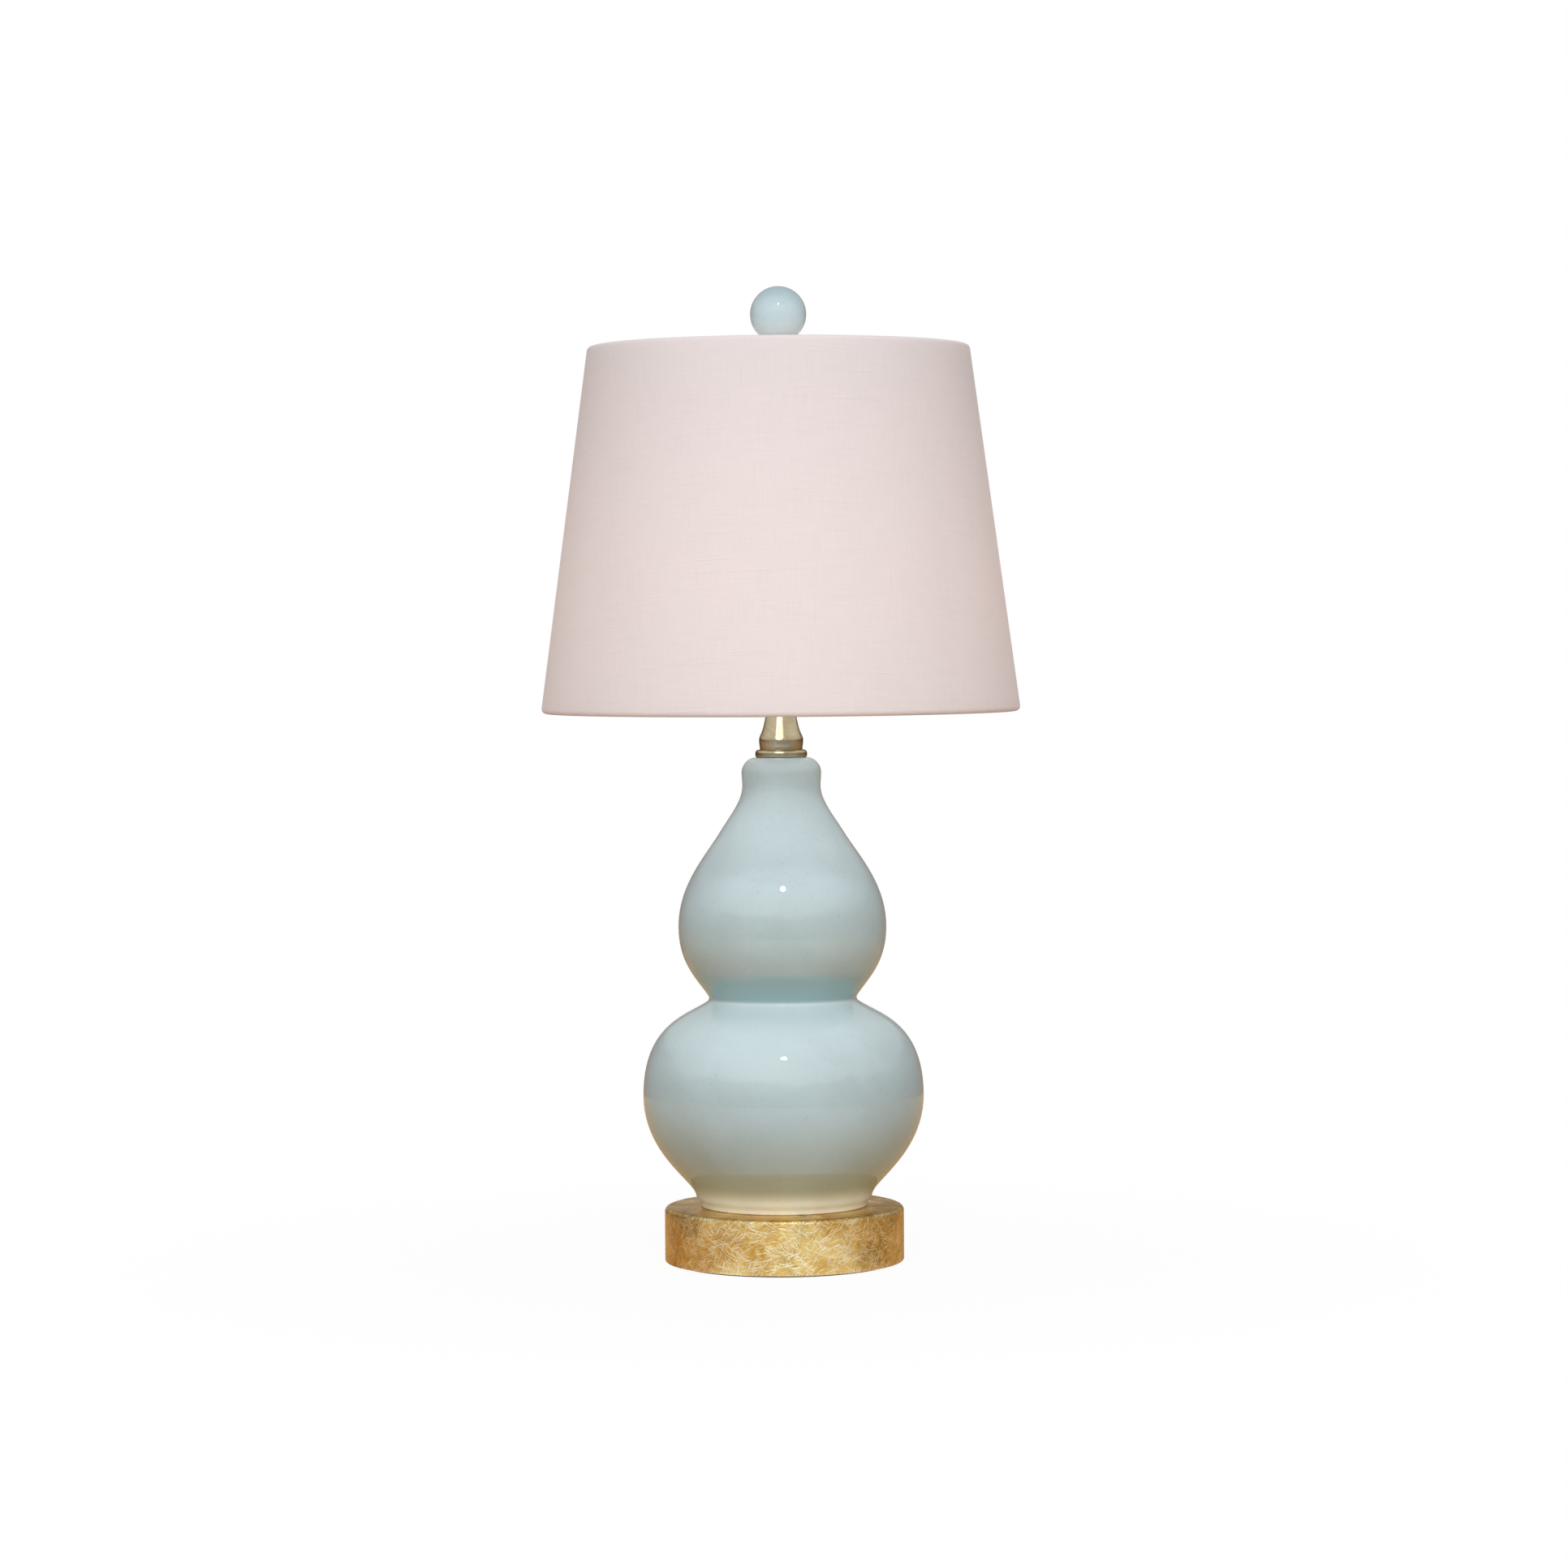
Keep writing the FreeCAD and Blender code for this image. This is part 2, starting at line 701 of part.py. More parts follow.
def make_socket_body():
    """Moulded block that holds the screw shell, the terminals and the switch."""
    body = drum(body_radius, body_bottom, body_top)
    flat = body_radius - terminal_depth
    level = body_bottom + terminal_height
    reach = terminal_head_radius + terminal_room
    for side in (-1, 1):
        low, high = sorted((side * flat, side * (body_radius + overcut)))
        body = body.cut(slab(Vector(low, -reach, level - reach), Vector(high, reach, level + reach)))
        body = body.cut(rod(terminal_shank_radius, Vector(side * flat, 0, level),
                            Vector(side * (flat - terminal_shank_length), 0, level)))
    pocket_front = -rotor_depth - rotor_length / 2 - loose_gap
    pocket_back = -rotor_depth + rotor_length / 2 + loose_gap + blade_thickness
    middle = Vector(0, pocket_back, shaft_level)
    body = body.cut(rod(rotor_pocket_radius, middle, Vector(0, pocket_front, shaft_level)))
    return body.cut(rod(shaft_radius + running_gap, middle, Vector(0, -body_radius - overcut, shaft_level)))


def make_terminal_screws():
    """The two wiring screws, one on each side of the body."""
    flat = body_radius - terminal_depth
    level = body_bottom + terminal_height
    screws = []
    for side in (-1, 1):
        head = rod(terminal_head_radius, Vector(side * flat, 0, level),
                   Vector(side * (flat + terminal_head_thickness), 0, level))
        shank = rod(terminal_shank_radius, Vector(side * flat, 0, level),
                    Vector(side * (flat - terminal_shank_length), 0, level))
        outer = side * (flat + terminal_head_thickness)
        low, high = sorted((outer, outer - side * slot_depth))
        slot = slab(Vector(low, -slot_width / 2, level - terminal_head_radius - overcut),
                    Vector(high, slot_width / 2, level + terminal_head_radius + overcut))
        screws.append(head.fuse(shank).removeSplitter().cut(slot))
    return Part.makeCompound(screws)


def rolled_thread(root, crest, bottom, pitch, turns):
    """Outline points of a rolled thread, drawn as rings: root, crest, root and so on, going up."""
    steps = 4
    points = []
    for k in range(turns * steps + 1):
        swell = 0.5 - 0.5 * math.cos(2 * math.pi * k / steps)
        points.append(at(root + (crest - root) * swell, bottom + pitch * k / steps))
    return points


def make_screw_shell():
    """The threaded contact shell that the bulb turns in."""
    inner = rolled_thread(thread_root_radius + thread_clearance, thread_crest_radius + thread_clearance,
                          thread_bottom, thread_pitch, thread_turns)
    wall = at(thread_wall, 0)
    low = at(inner[0].x, body_top)
    wire = Part.Wire([straight(low, inner[0]), through(inner), straight(inner[-1], inner[-1] + wall),
                      through([p + wall for p in inner]), straight(inner[0] + wall, low + wall),
                      straight(low + wall, low)])
    return spin(wire)


def make_contact_leaf():
    """Springy centre contact: a foot on the body, a riser and a tongue under the bulb."""
    half = leaf_radius / 2
    level = body_top + leaf_rise
    foot = slab(Vector(-leaf_radius, -half, body_top), Vector(leaf_radius, half, body_top + leaf_thickness))
    riser = slab(Vector(-leaf_radius, -half, body_top), Vector(leaf_thickness - leaf_radius, half, level))
    tongue = slab(Vector(-leaf_radius, -half, level), Vector(leaf_radius, half, level + leaf_thickness))
    return foot.fuse([riser, tongue]).removeSplitter()


def make_switch_shaft():
    front = -rotor_depth - rotor_length / 2
    return rod(shaft_radius, Vector(0, front, shaft_level), Vector(0, front - shaft_length, shaft_level))


def make_switch_rotor():
    """Lobed rotor on the inner end of the shaft, which lifts the contact blade."""
    front = Vector(0, -rotor_depth - rotor_length / 2, shaft_level)
    back = Vector(0, -rotor_depth + rotor_length / 2, shaft_level)
    rotor = rod(rotor_radius - rotor_lobe_radius / 2, front, back)
    lobes = []
    for k in range(rotor_lobes):
        turn = 2 * math.pi * k / rotor_lobes
        out = Vector(math.cos(turn), 0, math.sin(turn)) * (rotor_radius - rotor_lobe_radius / 2)
        lobes.append(rod(rotor_lobe_radius, front + out, back + out))
    return rotor.fuse(lobes).removeSplitter()


def make_switch_blade():
    """Fixed contact blade behind the rotor."""
    back = -rotor_depth + rotor_length / 2 + loose_gap
    return slab(Vector(-blade_width / 2, back, shaft_level - blade_height / 2),
                Vector(blade_width / 2, back + blade_thickness, shaft_level + blade_height / 2))


def make_switch_knob():
    """Fluted turn knob, its axis along Y, pushed on the shaft."""
    knob = turned([(0, 0), (knob_radius, 0, machined_edge),
                   (knob_tip_radius, knob_length, knob_edge), (0, knob_length)])
    for k in range(knob_flutes):
        turn = 2 * math.pi * k / knob_flutes
        out = Vector(math.cos(turn), math.sin(turn), 0)
        foot = out * (knob_radius + knob_flute_offset)
        tip = out * (knob_tip_radius + knob_flute_offset) + Vector(0, 0, knob_length)
        past = (tip - foot).normalize() * overcut
        knob = knob.cut(rod(knob_flute_radius, foot - past, tip + past))
    knob = knob.cut(drum(shaft_radius + thread_gap, -overcut, knob_grip))
    knob.rotate(Vector(0, 0, 0), Vector(1, 0, 0), 90)
    knob.translate(Vector(0, -shell_radius - knob_gap, shaft_level))
    return knob


# ================================================================ bulb
def make_bulb_cap():
    """Threaded metal cap of the bulb, a thin shell open at both ends."""
    outer = rolled_thread(thread_root_radius, thread_crest_radius, thread_bottom, thread_pitch, thread_turns)
    wall = at(thread_wall, 0)
    taper = at(bulb_insulator_radius, insulator_bottom + bulb_insulator_height)
    collar_low = at(bulb_collar_radius, thread_top + bulb_collar_height / 3)
    collar_high = at(bulb_collar_radius, collar_top)
    wire = Part.Wire([straight(taper - wall, taper), straight(taper, outer[0]), through(outer),
                      straight(outer[-1], collar_low), straight(collar_low, collar_high),
                      straight(collar_high, collar_high - wall),
                      straight(collar_high - wall, collar_low - wall),
                      straight(collar_low - wall, outer[-1] - wall), through([p - wall for p in outer]),
                      straight(outer[0] - wall, taper - wall)])
    return spin(wire)


def make_bulb_insulator():
    top = insulator_bottom + bulb_insulator_height
    edge = bulb_insulator_edge
    return turned([(0, insulator_bottom), (bulb_contact_radius + edge, insulator_bottom, machined_edge),
                   (bulb_insulator_radius, top - edge), (bulb_insulator_radius, top), (0, top)])


def make_bulb_contact():
    return turned([(0, bulb_bottom), (bulb_contact_radius, bulb_bottom, bulb_contact_edge),
                   (bulb_contact_radius, insulator_bottom), (0, insulator_bottom)])


def bulb_outline(inset):
    """The glass outline from its neck to its crown, set in by some thickness."""
    neck_radius = bulb_neck_radius - inset
    neck = at(neck_radius, stem_foot)
    throat = at(neck_radius, collar_top + bulb_neck_straight)
    belly = at(bulb_radius - inset, bulb_centre)
    crown = at(0, bulb_top - inset)
    dome = Part.BezierCurve()
    dome.setPoles([belly, belly + at(0, bulb_crown_pull), crown + at(bulb_crown_pull, 0), crown])
    side = curve(throat, 0, bulb_neck_pull, belly, 0, bulb_belly_pull)
    return [straight(neck, throat), side, dome.toShape()]


def make_bulb_glass():
    outer = bulb_outline(0)
    inner = bulb_outline(bulb_glass)
    rim = straight(outer[0].Vertexes[0].Point, inner[0].Vertexes[0].Point)
    top = straight(outer[2].Vertexes[-1].Point, inner[2].Vertexes[-1].Point)
    return spin(Part.Wire([rim] + outer + [top] + inner[::-1]))


def make_bulb_stem():
    """Glass stem sealed to the neck, which holds the lead wires."""
    skirt = bulb_neck_radius - bulb_glass - thread_gap
    top = stem_foot + stem_length
    stem = turned([(0, stem_foot), (skirt, stem_foot), (skirt, stem_foot + stem_flange, machined_edge),
                   (stem_waist_radius, stem_foot + stem_length / 2, stem_waist_bend),
                   (stem_top_radius, top, stem_edge), (0, top)])
    return stem.cut(lead_wires())


def lead_wires():
    root = stem_foot + stem_length - lead_buried
    tip = stem_foot + stem_length + lead_length
    return [rod(lead_radius, at(side * stem_top_radius / 2, root), at(side * lead_spread / 2, tip))
            for side in (-1, 1)]


def make_bulb_filament():
    """Two lead wires that spread from the stem, and the filament between their tips."""
    level = stem_foot + stem_length + lead_length
    tip = lead_spread / 2
    arc = Part.Arc(at(-tip, level), at(0, level + filament_sag), at(tip, level)).toShape()
    coil = bent_wire([arc], filament_radius, arc.tangentAt(arc.ParameterRange[0]))
    return coil.fuse(lead_wires()).removeSplitter()


# ================================================================ harp
def make_saddle():
    """Flat strip with both ends turned up, each ending in a tongue that the harp leg laps."""
    outer = leg_x - tongue_inset - lap_gap
    inner = outer - strip_thickness
    half = strip_width / 2
    bar = Part.Face(outline([(-outer, saddle_bottom, saddle_bend + strip_thickness),
                             (outer, saddle_bottom, saddle_bend + strip_thickness), (outer, tongue_top),
                             (inner, tongue_top), (inner, saddle_top, saddle_bend),
                             (-inner, saddle_top, saddle_bend), (-inner, tongue_top), (-outer, tongue_top)]))
    saddle = bar.extrude(Vector(0, strip_width, 0))
    saddle.translate(Vector(0, -half, 0))
    for side in (-1, 1):
        low, high = sorted((side * tongue_width / 2, side * (half + overcut)))
        saddle = saddle.cut(slab(Vector(-outer - overcut, low, saddle_shoulder),
                                 Vector(outer + overcut, high, tongue_top + overcut)))
    saddle = saddle.fuse(drum(saddle_pad_radius, saddle_bottom, saddle_top)).removeSplitter()
    return saddle.cut(drum(pipe_radius + thread_gap, saddle_bottom - overcut, saddle_top + overcut))


def half_bow(side):
    """One side of the harp wire, from its leg up to the middle of its crown."""
    flare = math.radians(flare_turn)
    crown = math.radians(crown_turn)
    start_level = leg_bottom + leg_straight
    # The straight flank and the belly arc take up what width and height are left.
    width = harp_width / 2 - leg_x - flare_bend * (1 - math.cos(flare))
    height = stud_pad_middle - start_level - flare_bend * math.sin(flare) - crown_bend * (1 - math.sin(crown))
    a, b = math.sin(flare), 1 - math.cos(flare)
    c, d = math.cos(flare), math.sin(flare) + math.sin(crown)
    flank = (width * d - b * height) / (a * d - b * c)
    belly = (a * height - c * width) / (a * d - b * c)

    def arc(start, heading, radius, turn):
        """A bend of the wire: its edge, its end and its new heading from the vertical."""
        sign = 1 if turn > 0 else -1
        to_centre = Vector(math.cos(heading), 0, -math.sin(heading)) * (radius * sign)
        centre = start + to_centre

        def swung(share):
            angle = heading + turn * share
            return centre - Vector(math.cos(angle), 0, -math.sin(angle)) * (radius * sign)
        return Part.Arc(start, swung(0.5), swung(1)).toShape(), swung(1), heading + turn

    start = at(leg_x, leg_bottom)
    bend_start = at(leg_x, start_level)
    first, flank_start, heading = arc(bend_start, 0, flare_bend, flare)
    flank_end = flank_start + at(math.sin(heading), math.cos(heading)) * flank
    second, crown_start, heading = arc(flank_end, heading, belly, -flare - crown)
    third, crown_end, heading = arc(crown_start, heading, crown_bend, crown - math.pi / 2)
    edges = [straight(start, bend_start), first, straight(flank_start, flank_end), second, third,
             straight(crown_end, at(0, stud_pad_middle))]
    wire = bent_wire(edges, wire_radius, Vector(0, 0, 1))
    return wire if side > 0 else wire.mirror(Vector(0, 0, 0), Vector(1, 0, 0))


def make_harp_bow():
    """The sprung wire bow, its leg ends flattened and its crown pierced for the stud."""
    lap = leg_x - tongue_inset
    ends = []
    for side in (-1, 1):
        low, high = sorted((side * lap, side * (leg_x + wire_radius)))
        ends.append(slab(Vector(low, -tongue_width / 2, tongue_top - paddle_drop),
                         Vector(high, tongue_width / 2, paddle_top)))
    pad = tube(stud_pad_radius, stud_shank_radius / 2, stud_pad_top - stud_pad_thickness, stud_pad_top,
               stud_pad_edge)
    bow = half_bow(1).fuse([half_bow(-1), pad] + ends)
    levels = (stud_pad_top - stud_pad_thickness, stud_pad_top)
    hole = drum(stud_shank_radius + running_gap, levels[0] - wire_radius, levels[1] + wire_radius)
    above = drum(stud_flange_radius + loose_gap, levels[1], levels[1] + wire_radius)
    below = drum(rivet_radius + loose_gap, levels[0] - wire_radius, levels[0])
    return bow.cut([hole, above, below]).removeSplitter()


def make_sleeve(side):
    """Ferrule that drops over the lapped joint of a leg and the saddle."""
    top = sleeve_bottom + sleeve_length
    cavity_top = paddle_top + sleeve_end_gap
    wire_hole = wire_radius + running_gap * 2
    beads = []
    swell = sleeve_radius + sleeve_bead
    for middle in (sleeve_bottom + sleeve_bead_inset, top - sleeve_bead_inset):
        beads += [(sleeve_radius, middle - 2 * sleeve_bead_flat, small_edge),
                  (swell, middle - sleeve_bead_flat, small_edge),
                  (swell, middle + sleeve_bead_flat, small_edge),
                  (sleeve_radius, middle + 2 * sleeve_bead_flat, small_edge)]
    sleeve = turned([(sleeve_cavity_radius, sleeve_bottom), (sleeve_radius, sleeve_bottom, small_edge)]
                    + beads + [(sleeve_radius, top, sleeve_edge), (wire_hole, top),
                               (wire_hole, cavity_top), (sleeve_cavity_radius, cavity_top)])
    sleeve.translate(Vector(side * leg_x, 0, 0))
    return sleeve


def make_stud():
    """Riveted stud that turns in the crown of the harp and carries the shade."""
    pad_bottom = stud_pad_top - stud_pad_thickness
    rivet_top = pad_bottom - seat_gap
    flange_bottom = stud_pad_top + seat_gap
    post_top = seat_level + stud_post_length
    rivet_bottom = rivet_top - rivet_thickness
    return turned([(0, rivet_bottom), (rivet_radius, rivet_bottom, rivet_edge), (rivet_radius, rivet_top),
                   (stud_shank_radius, rivet_top), (stud_shank_radius, flange_bottom),
                   (stud_flange_radius, flange_bottom), (stud_flange_radius, seat_level, small_edge),
                   (stud_post_radius, seat_level), (stud_post_radius, post_top, stud_post_edge),
                   (0, post_top)])


# ================================================================ shade
def slope_frame():
    """The shade's slope: its direction up, its outward normal and its length between the rings."""
    low = at(shade_bottom_radius, bottom_ring_level)
    high = at(shade_top_radius, top_ring_level)
    up = (high - low).normalize()
    return low, up, at(up.z, -up.x), high.distanceToPoint(low)


def on_slope(along, out):
    """The point so far up the slope from the bottom ring and so far out from the ring centres."""
    low, up, normal, _ = slope_frame()
    return low + up * along + normal * out


def hem_side(radius, landing, from_bottom):
    """One face of a hem, from the outside round the ring at a radius to its tail on the liner."""
    length = slope_frame()[3]
    turn = math.radians(hem_turn)
    reach = (landing + radius * math.cos(turn)) / math.sin(turn)

    def point(along, out):
        return on_slope(along if from_bottom else length - along, out)
    leave = point(radius * math.sin(turn), -radius * math.cos(turn))
    land = point(radius * math.sin(turn) + reach * math.cos(turn), landing)
    return [Part.Arc(point(0, radius), point(-radius, 0), leave).toShape(), straight(leave, land),
            straight(land, point(hem_tail, landing))]


def make_shade_cover():
    """Linen cover: the sloped wall with a hem rolled round each ring and turned in on the liner."""
    length = slope_frame()[3]
    inner_radius = hem_radius - cover_thickness
    liner_face = inner_radius - liner_thickness
    tail_face = liner_face - cover_thickness
    end = length - hem_tail
    wire = Part.Wire([straight(on_slope(0, hem_radius), on_slope(length, hem_radius))]
                     + hem_side(hem_radius, tail_face, False)
                     + [straight(on_slope(end, tail_face), on_slope(end, liner_face))]
                     + hem_side(inner_radius, liner_face, False)[::-1]
                     + [straight(on_slope(length, inner_radius), on_slope(0, inner_radius))]
                     + hem_side(inner_radius, liner_face, True)
                     + [straight(on_slope(hem_tail, liner_face), on_slope(hem_tail, tail_face))]
                     + hem_side(hem_radius, tail_face, True)[::-1])
    return spin(wire).cut([arm_wire(k, wire_radius + notch_gap) for k in range(spider_arms)])


def make_shade_liner():
    length = slope_frame()[3]
    outer = hem_radius - cover_thickness
    inner = outer - liner_thickness
    points = [on_slope(0, outer), on_slope(length, outer), on_slope(length, inner), on_slope(0, inner)]
    return spin(Part.makePolygon(points + points[:1]))


def make_ring(radius, level):
    return Part.makeTorus(radius, ring_wire_radius, Vector(0, 0, level))


def arm_wire(number, radius):
    """One arm of the spider: out from the washer, then up to the top ring."""
    level = washer_bottom + spider_washer_thickness / 2
    start = at(spider_washer_radius / 2 + stud_post_radius / 2, level)
    knee = at(spider_reach, level)
    end = at(shade_top_radius, top_ring_level)
    first, middle, last = corner(start, knee, end, spider_bend)
    path = [straight(start, first), Part.Arc(first, middle, last).toShape(), straight(last, end)]
    arm = bent_wire(path, radius, Vector(1, 0, 0))
    arm.rotate(Vector(0, 0, 0), Vector(0, 0, 1), 360 / spider_arms * number - 90)
    return arm


def make_spider():
    """Washer and three arms that hang the shade on the harp's stud."""
    washer = tube(spider_washer_radius, stud_post_radius + loose_gap, washer_bottom, washer_top, small_edge)
    level = washer_bottom + spider_washer_thickness / 2
    spider = washer.fuse([arm_wire(k, wire_radius) for k in range(spider_arms)])
    below = level - wire_radius - overcut
    above = level + wire_radius + overcut
    hub_clear = [drum(finial_flange_radius + loose_gap, washer_top, above),
                 drum(stud_flange_radius + loose_gap, below, washer_bottom),
                 drum(stud_post_radius + loose_gap, below, above)]
    ring = make_ring(shade_top_radius, top_ring_level)
    outside = tube(shade_top_radius + ring_room, shade_top_radius,
                   top_ring_level - ring_room, top_ring_level + ring_room)
    return spider.cut(hub_clear + [ring, outside]).removeSplitter()


# ================================================================ finial
def make_finial_insert():
    """Brass base of the finial: flange, neck, cup and a stem cemented into the ball."""
    bore = stud_post_radius + running_gap
    bore_top = seat_level + stud_post_length + finial_bore_room
    flange_top = finial_bottom + finial_flange_thickness
    cup_bottom = ball_bottom - finial_cup_thickness
    stem_top = ball_bottom + finial_stem_length
    return turned([(bore, finial_bottom), (finial_flange_radius, finial_bottom, small_edge),
                   (finial_flange_radius, flange_top, machined_edge),
                   (finial_neck_radius, flange_top + finial_taper, finial_bend),
                   (finial_neck_radius, cup_bottom - finial_taper, finial_bend),
                   (finial_cup_radius, cup_bottom, machined_edge),
                   (finial_cup_radius, ball_bottom, machined_edge),
                   (finial_stem_radius, ball_bottom), (finial_stem_radius, stem_top, machined_edge),
                   (0, stem_top), (0, bore_top), (bore, bore_top)])


def make_finial_ball():
    ball = Part.makeSphere(ball_radius, Vector(0, 0, ball_centre))
    ball = ball.cut(drum(ball_radius, ball_centre - ball_radius - overcut, ball_bottom))
    stem = drum(finial_stem_radius + thread_gap, ball_bottom - overcut,
                ball_bottom + finial_stem_length + finial_cement_room)
    return ball.cut(stem)


# ================================================================ assembly
def sub_parts():
    return {
        "felt_pad": make_felt(),
        "plinth": make_plinth(),
        "cord_inlet_bushing": make_inlet_bushing(),
        "gourd_body": make_gourd(),
        "lamp_pipe": make_pipe(),
        "base_washer": make_base_washer(),
        "base_nut": make_base_nut(),
        "vase_cap": make_vase_cap(),
        "brass_neck": make_neck(),
        "harp_saddle": make_saddle(),
        "saddle_nut": make_saddle_nut(),
        "socket_cap": make_socket_cap(),
        "cap_set_screw": make_set_screw(),
        "pipe_mouth_bushing": make_mouth_bushing(),
        "socket_shell": make_socket_shell(),
        "socket_fibre_sleeve": make_socket_fibre(),
        "socket_body": make_socket_body(),
        "terminal_screws": make_terminal_screws(),
        "socket_screw_shell": make_screw_shell(),
        "socket_contact_leaf": make_contact_leaf(),
        "switch_blade": make_switch_blade(),
        "switch_rotor": make_switch_rotor(),
        "switch_shaft": make_switch_shaft(),
        "switch_knob": make_switch_knob(),
        "bulb_glass": make_bulb_glass(),
        "bulb_stem": make_bulb_stem(),
        "bulb_filament": make_bulb_filament(),
        "bulb_cap": make_bulb_cap(),
        "bulb_insulator": make_bulb_insulator(),
        "bulb_contact": make_bulb_contact(),
        "harp_bow": make_harp_bow(),
        "harp_sleeve_left": make_sleeve(-1),
        "harp_sleeve_right": make_sleeve(1),
        "harp_stud": make_stud(),
        "shade_cover": make_shade_cover(),
        "shade_liner": make_shade_liner(),
        "shade_top_ring": make_ring(shade_top_radius, top_ring_level),
        "shade_bottom_ring": make_ring(shade_bottom_radius, bottom_ring_level),
        "shade_spider": make_spider(),
        "finial_insert": make_finial_insert(),
        "finial_ball": make_finial_ball(),
    }


os.makedirs("parts", exist_ok=True)
for name, shape in sub_parts().items():
    sound = shape.isValid() and shape.Volume > 0
    state = "sound" if sound else "NOT SOUND"
    print(f"{name}: {len(shape.Solids)} solid, {shape.Volume / 1000:.2f} cm3, {state}")
    shape.exportStep(f"parts/{name}.step")
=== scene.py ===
import json
import math

import bmesh
import bpy
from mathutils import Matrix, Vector
from mathutils.geometry import interpolate_bezier


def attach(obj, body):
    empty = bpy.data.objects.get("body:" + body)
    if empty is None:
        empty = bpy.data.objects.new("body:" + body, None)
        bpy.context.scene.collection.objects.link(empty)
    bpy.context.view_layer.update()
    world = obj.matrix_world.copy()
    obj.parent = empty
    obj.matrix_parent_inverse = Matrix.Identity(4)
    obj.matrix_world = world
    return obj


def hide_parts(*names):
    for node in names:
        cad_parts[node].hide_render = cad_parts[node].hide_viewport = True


# Looks of the double gourd lamp. Sizes in the dictionaries are millimetres in the lamp's own frame,
# colours are linear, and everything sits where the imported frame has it.
mm = 0.001
weld = 0.002 * mm    # corners closer together than this are merged

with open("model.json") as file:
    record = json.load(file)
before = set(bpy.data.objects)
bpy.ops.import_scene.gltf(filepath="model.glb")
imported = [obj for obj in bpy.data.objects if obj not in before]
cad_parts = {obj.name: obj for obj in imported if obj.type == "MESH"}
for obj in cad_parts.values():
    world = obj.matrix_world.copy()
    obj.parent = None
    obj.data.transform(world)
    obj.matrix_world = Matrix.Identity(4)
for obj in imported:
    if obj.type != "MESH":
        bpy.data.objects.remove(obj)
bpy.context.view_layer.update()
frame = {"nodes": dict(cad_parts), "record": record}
scene = bpy.context.scene
scene.view_settings.view_transform = "Standard"
print("frame loaded:", len(frame["nodes"]), "nodes")


# camera: a long lens, a little above the middle of the lamp
cameraPlan = {"place": (0.002, -2.445, 0.344), "tiltDown": 2.08, "roll": 0.4, "focal": 105.65, "sensor": 36.0}

cameraData = bpy.data.cameras.new("camera")
cameraData.sensor_width = cameraPlan["sensor"]
cameraData.lens = cameraPlan["focal"]
camera = bpy.data.objects.new("camera", cameraData)
camera.location = cameraPlan["place"]
camera.rotation_euler = (math.radians(90 - cameraPlan["tiltDown"]), math.radians(cameraPlan["roll"]), 0)
scene.collection.objects.link(camera)
scene.camera = camera


# nodes of a material, kept short
def put(tree, kind, inputs=None, **settings):
    node = tree.nodes.new("ShaderNode" + kind)
    for key, value in settings.items():
        setattr(node, key, value)
    for key, value in (inputs or {}).items():
        if isinstance(value, bpy.types.NodeSocket):
            tree.links.new(value, node.inputs[key])
        else:
            node.inputs[key].default_value = value
    return node


def calc(tree, operation, first, second):
    return put(tree, "Math", {0: first, 1: second}, operation=operation).outputs[0]


def times(tree, first, second):
    return calc(tree, "MULTIPLY", first, second)


def plus(tree, first, second):
    return calc(tree, "ADD", first, second)


def larger(tree, first, second):
    return calc(tree, "MAXIMUM", first, second)


def spread(tree, value, low, high, outLow=0.0, outHigh=1.0):
    # a value's range from low to high becomes outLow to outHigh, clamped
    return put(tree, "MapRange", {0: value, 1: low, 2: high, 3: outLow, 4: outHigh}).outputs[0]


def blendColour(tree, share, first, second, kind="MIX"):
    node = put(tree, "Mix", {0: share, 6: first, 7: second}, data_type="RGBA", blend_type=kind)
    return node.outputs[2]


def rgba(colour):
    return (colour[0], colour[1], colour[2], 1.0)


def noise(tree, place, scale, detail=2.0, rough=0.5, distortion=0.0):
    return put(tree, "TexNoise", {"Vector": place, "Scale": scale, "Detail": detail, "Roughness": rough,
                                  "Distortion": distortion}).outputs["Fac"]


def stretched(tree, place, scale, turn=0.0):
    # turned first, then scaled, so that long marks lie along the turn
    return put(tree, "Mapping", {"Vector": place, "Scale": [1 / size for size in scale],
                                 "Rotation": (0, 0, math.radians(turn))}, vector_type="TEXTURE").outputs[0]


def startFinish(name, sockets):
    material = bpy.data.materials.new(name)
    material.use_nodes = True
    tree = material.node_tree
    shader = tree.nodes["Principled BSDF"]
    for key, value in sockets.items():
        shader.inputs[key].default_value = value
    place = put(tree, "TexCoord").outputs["Object"]
    return material, tree, shader, place


def setBump(tree, shader, height, distance, strength):
    bump = put(tree, "Bump", {"Height": height, "Distance": distance, "Strength": strength})
    tree.links.new(bump.outputs[0], shader.inputs["Normal"])


def mottled(name, plan):
    # two close colours in soft patches with finer grain in them, uneven gloss, and a fine bump
    material, tree, shader, place = startFinish(name, plan.get("sockets", {}))
    if "stretch" in plan:
        place = stretched(tree, place, plan["stretch"])
    broad = noise(tree, place, plan["patches"], 3.0)
    fine = noise(tree, place, plan["grain"], 4.0, 0.6)
    share = spread(tree, plus(tree, broad, times(tree, fine, 0.6)), 0.5, 1.1)
    colour = blendColour(tree, share, rgba(plan["dark"]), rgba(plan["light"]))
    tree.links.new(colour, shader.inputs["Base Color"])
    gloss = spread(tree, plus(tree, broad, fine), 0.6, 1.4, plan["roughness"][0], plan["roughness"][1])
    tree.links.new(gloss, shader.inputs["Roughness"])
    setBump(tree, shader, fine, plan["bump"] * mm, plan.get("bumpStrength", 0.6))
    return material


